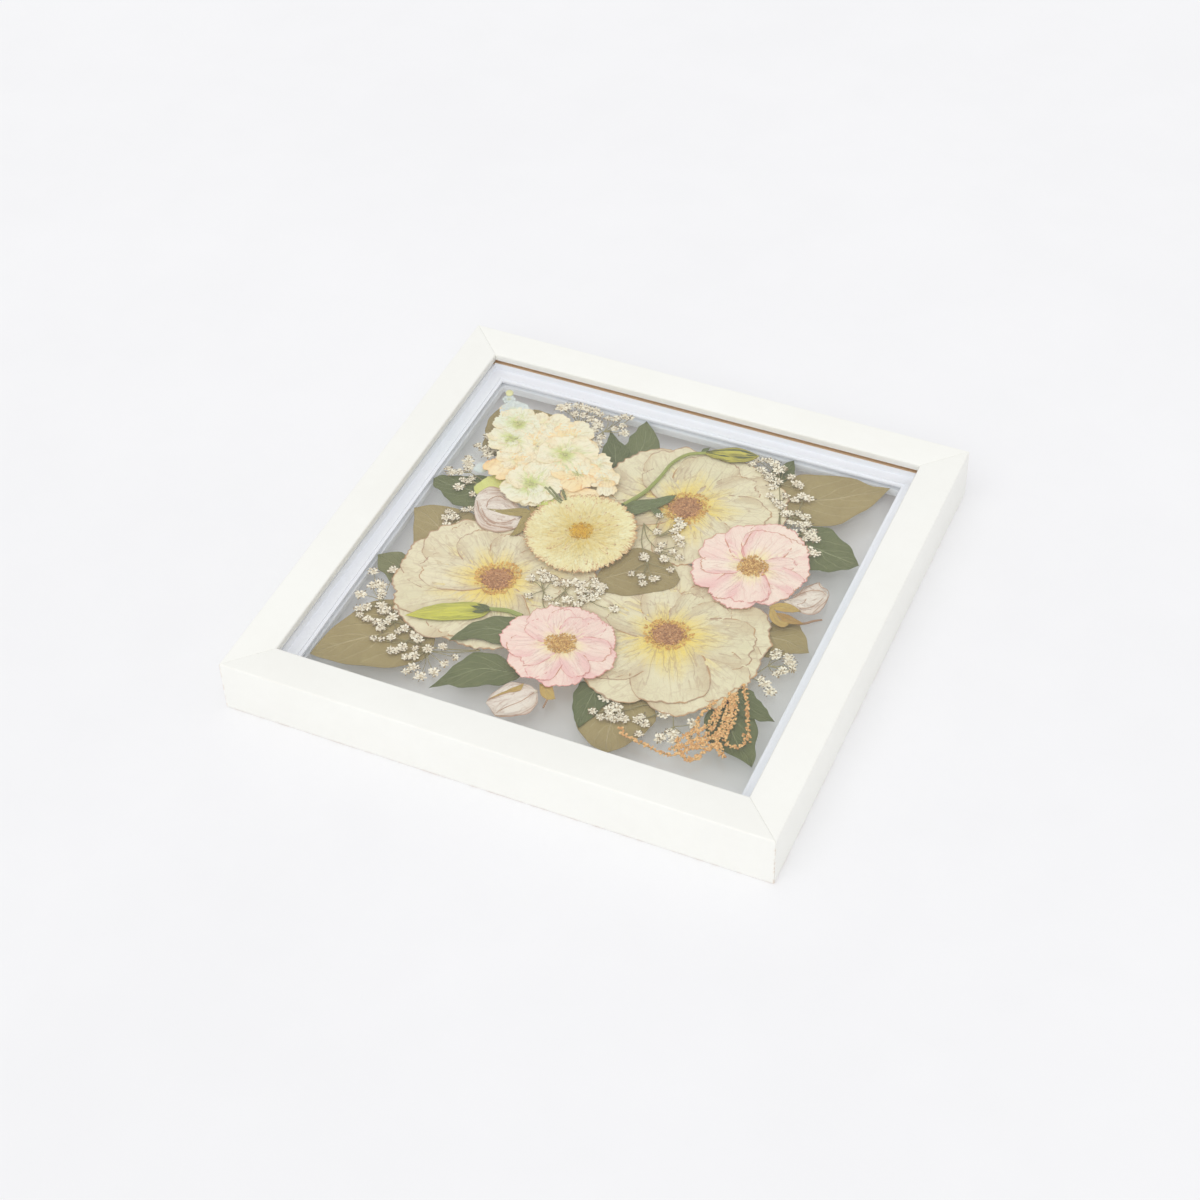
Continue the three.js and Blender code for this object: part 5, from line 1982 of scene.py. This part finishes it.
@dataclass
class BabysBreath:
    """Every spray of baby's breath: fine stems and small double florets."""

    sprays: tuple[Spray, ...]
    floret: float = 2.5
    petals: int = 16
    flecks: int = 6
    sepals: int = 3
    shortest_stem: float = 0.5

    def build(self) -> None:
        """Makes each spray in place of its node."""
        cream = GrainFinish("floret_cream", (186, 164, 124), (255, 249, 228), 500, 0.75).make()
        fleck = GrainFinish("floret_fleck", (74, 62, 58), (180, 158, 118)).make()
        stem = GrainFinish("floret_stem", (128, 118, 78), (168, 160, 116)).make()
        blade = self._model_blade()
        for spray in self.sprays:
            piece = Piece(spray.node, cream, fleck, stem)
            draw = piece.draw
            middle = sum(corner.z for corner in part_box(spray.node)) / 2 / MM
            for fork in spray.forks:
                add_stem(piece, self._route(spray.root, fork, draw), middle - 0.25, 0.3, stem, 0.4, 0.8, 5)
            for place in spray.florets:
                fork = min(spray.forks, key=lambda other: math.dist(other, place))
                if math.dist(fork, place) > self.shortest_stem:
                    route = self._route(fork, place, draw)
                    add_stem(piece, route, middle - 0.2, 0.22, stem, draw.random(), 0.7, 3)
                self._add_floret(piece, blade, place, middle, fleck)
            piece.build("floret_cream")

    def _model_blade(self) -> Template:
        """Models one tiny petal: a folded kite from the origin to 1 along X.

        Returns:
            The template.
        """
        deselect_all()
        bpy.ops.mesh.primitive_circle_add(vertices=6, radius=0.5, fill_type="TRIFAN", location=(0.5, 0, 0))
        blade = bpy.context.object
        with editing(blade):
            bpy.ops.transform.resize(value=(1, 0.72, 1), center_override=(0.5, 0, 0))
        bpy.ops.object.transform_apply(location=True, rotation=True, scale=True)
        for vertex in blade.data.vertices:
            vertex.co.z = 0.16 * vertex.co.x**2 + 0.3 * abs(vertex.co.y)
        apply_modifier(blade, "SOLIDIFY", thickness=0.06, offset=0)
        return Template.from_active()

    def _route(self, start: Point, end: Point, draw: random.Random) -> list[Point]:
        """A gently bent way between two places.

        Args:
            start: The first place.
            end: The last place.
            draw: The source of the random numbers.

        Returns:
            Three places.
        """
        bend = draw.uniform(-0.12, 0.12)
        middle = ((start[0] + end[0]) / 2, (start[1] + end[1]) / 2)
        bow = ((end[1] - start[1]) * bend, (start[0] - end[0]) * bend)
        return [start, (middle[0] + bow[0], middle[1] + bow[1]), end]

    def _add_floret(
        self, piece: Piece, blade: Template, place: Point, middle: float, fleck: Material
    ) -> None:
        """Adds one floret: tiny petals over a ball, pressed to one side, with dark specks and sepals.

        Args:
            piece: The piece to add it to.
            blade: The petal template.
            place: The floret's place.
            middle: The height of its middle.
            fleck: The material of the specks and sepals.
        """
        draw = piece.draw
        size = self.floret * draw.uniform(0.7, 1.2)
        squash, lean = draw.uniform(0.75, 1.0), draw.uniform(0, math.tau)
        core = (size * 0.72, size * 0.72 * squash, 0.24)
        add_bead(piece, (*place, middle), core, lean, piece.finishes[0], 0.3)
        for step in range(self.petals):
            bearing, out = step * 2.4 + lean, size * 0.75 * math.sqrt((step + 0.5) / self.petals)
            heart = (place[0] + out * math.cos(bearing), place[1] + out * squash * math.sin(bearing))
            turn = bearing + draw.uniform(-0.9, 0.9)
            far, side, up = (blade.corners * size * draw.uniform(0.42, 0.66)).T
            top = middle + up + 0.1 + 0.25 * (1 - step / self.petals)
            plan = turned(far, side, turn, heart)
            piece.add(blade, np.column_stack([plan, top]), tint=draw.uniform(0.6, 1.25))
        for _ in range(self.flecks):
            bearing, far = draw.uniform(0, math.tau), size * draw.uniform(0.4, 1.4)
            spot = (*polar(place, bearing, far), middle + 0.42)
            add_bead(piece, spot, (0.56, 0.3, 0.16), bearing, fleck, draw.uniform(0, 0.8))
        for _ in range(self.sepals):
            bearing = draw.uniform(0, math.tau)
            spot = (*polar(place, bearing, size), middle + 0.2)
            add_bead(piece, spot, (1.0, 0.42, 0.16), bearing, fleck, draw.uniform(0.5, 1.2))


# ---- Amaranthus ----


@dataclass
class Amaranthus:
    """A tassel of beaded strands, each a route of plan points."""

    node: str = "amaranthus"
    strands: tuple[tuple[Point, ...], ...] = (
        ((91, -50), (95, -56), (99, -65), (102, -73), (105, -79), (106.5, -82)),
        ((90, -57), (94, -66), (96, -76), (96, -86), (100, -89), (104, -88), (105, -83), (103, -80)),
        ((89, -57), (90, -66), (91, -76), (92, -86), (96, -92), (100, -97)),
        ((88, -58), (87, -66), (88, -76), (87, -86), (82, -94), (77, -98)),
        ((90, -58), (92, -68), (94, -78), (93, -88), (90, -97), (86, -104), (81, -102), (84, -97)),
        ((83, -65), (81, -72), (80, -80), (83, -88), (88, -93), (94, -92), (98, -96)),
        ((88, -60), (86, -72), (85, -82), (80, -88), (76, -96), (79, -102), (86, -105), (90, -100)),
        ((89, -59), (93, -72), (92, -82), (88, -90), (82, -97), (75, -101)),
        ((92, -84), (88, -92), (83, -99), (77, -105), (66, -104.5), (56, -102.5), (50, -101), (48, -98)),
        ((84, -84), (80, -91), (84, -96), (91, -95), (96, -90)),
    )
    pitch: float = 0.85
    abreast: int = 2
    girth: float = 1.0

    def build(self) -> None:
        """Makes the tassel in place of its node."""
        amber = GrainFinish("tassel_amber", (196, 130, 64), (255, 214, 148), 1600).make()
        cord = GrainFinish("tassel_cord", (150, 132, 74), (176, 158, 98)).make()
        piece = Piece(self.node, amber, cord)
        draw = piece.draw
        for number, strand in enumerate(self.strands):
            length = sum(math.dist(a, b) for a, b in zip(strand, strand[1:]))
            height = piece.height + 0.35 + 0.05 * number
            add_stem(piece, strand, height, 0.3, cord, 0.5, 0.8, 4)
            for x, y in smooth_curve(strand, np.linspace(0, 1, int(length / self.pitch))):
                for _ in range(self.abreast):
                    spread = draw.uniform(-self.girth, self.girth), draw.uniform(-self.girth, self.girth)
                    size = draw.uniform(0.5, 0.95)
                    place = (x + spread[0], y + spread[1], height + draw.uniform(0, 0.35))
                    shape = (size, size * 0.75, size * 0.5)
                    add_bead(piece, place, shape, draw.uniform(0, 3), amber, draw.random())
        piece.build("tassel_amber")


# ---- Studio ----


@dataclass
class Studio:
    """The camera, the pale floor and soft light."""

    eye: tuple[float, float, float] = (354.4, -770.9, 831.05)
    right: tuple[float, float, float] = (0.91483, 0.40319, -0.02288)
    forward: tuple[float, float, float] = (-0.30228, 0.64611, -0.70083)
    lens: float = 69.98
    sensor: float = 36.0
    floor_size: float = 12.0
    sky: float = 0.8
    sun: float = 0.82
    sun_from: tuple[float, float, float] = (0.02, -0.6, 0.83)
    sun_angle: float = 60.0

    def build(self) -> None:
        """Sets up everything round the object."""
        self._camera()
        self._light()
        self._floor()

    def _camera(self) -> None:
        """Places the camera by its own axes."""
        data = bpy.data.cameras.new("camera")
        data.lens, data.sensor_width = self.lens, self.sensor
        data.clip_start, data.clip_end = 0.05, 50
        camera = bpy.data.objects.new("camera", data)
        bpy.context.scene.collection.objects.link(camera)
        forward = Vector(self.forward).normalized()
        right = (Vector(self.right) - forward * Vector(self.right).dot(forward)).normalized()
        up = right.cross(forward)
        turn = Matrix((right, up, -forward)).transposed().to_4x4()
        camera.matrix_world = Matrix.Translation(Vector(self.eye) * MM) @ turn
        bpy.context.scene.camera = camera

    def _light(self) -> None:
        """A white sky and one broad soft lamp."""
        scene = bpy.context.scene
        scene.view_settings.view_transform = "Standard"
        scene.cycles.max_bounces = 20
        scene.cycles.diffuse_bounces = 6
        scene.cycles.transmission_bounces = 16
        scene.cycles.transparent_max_bounces = 24
        world = bpy.data.worlds.new("sky")
        world.use_nodes = True
        background = world.node_tree.nodes["Background"].inputs
        background["Color"].default_value = (1.0, 1.0, 1.0, 1.0)
        background["Strength"].default_value = self.sky
        scene.world = world
        data = bpy.data.lights.new("lamp", "SUN")
        data.energy, data.angle = self.sun, math.radians(self.sun_angle)
        lamp = bpy.data.objects.new("lamp", data)
        lamp.rotation_euler = Vector(self.sun_from).to_track_quat("Z", "Y").to_euler()
        scene.collection.objects.link(lamp)

    def _floor(self) -> None:
        """A wide pale tabletop under the object."""
        deselect_all()
        bpy.ops.mesh.primitive_plane_add(size=self.floor_size, location=(0, 0, 0))
        floor = bpy.context.object
        floor.name = "floor"
        floor.data.materials.append(TabletopFinish("tabletop").make())


def main() -> None:
    """Builds the studio, the frame and every specimen in order."""
    logging.basicConfig(level=logging.INFO, format="%(message)s")
    Studio().build()
    Surround().build()
    Glazing().build()
    Foliage(LEAVES).build()
    Roses(ROSES).build()
    Chrysanthemum().build()
    Larkspur().build()
    Buds(ROSEBUDS, LISIANTHUS).build()
    BabysBreath(SPRAYS).build()
    Amaranthus().build()


if __name__ == "__main__":
    main()
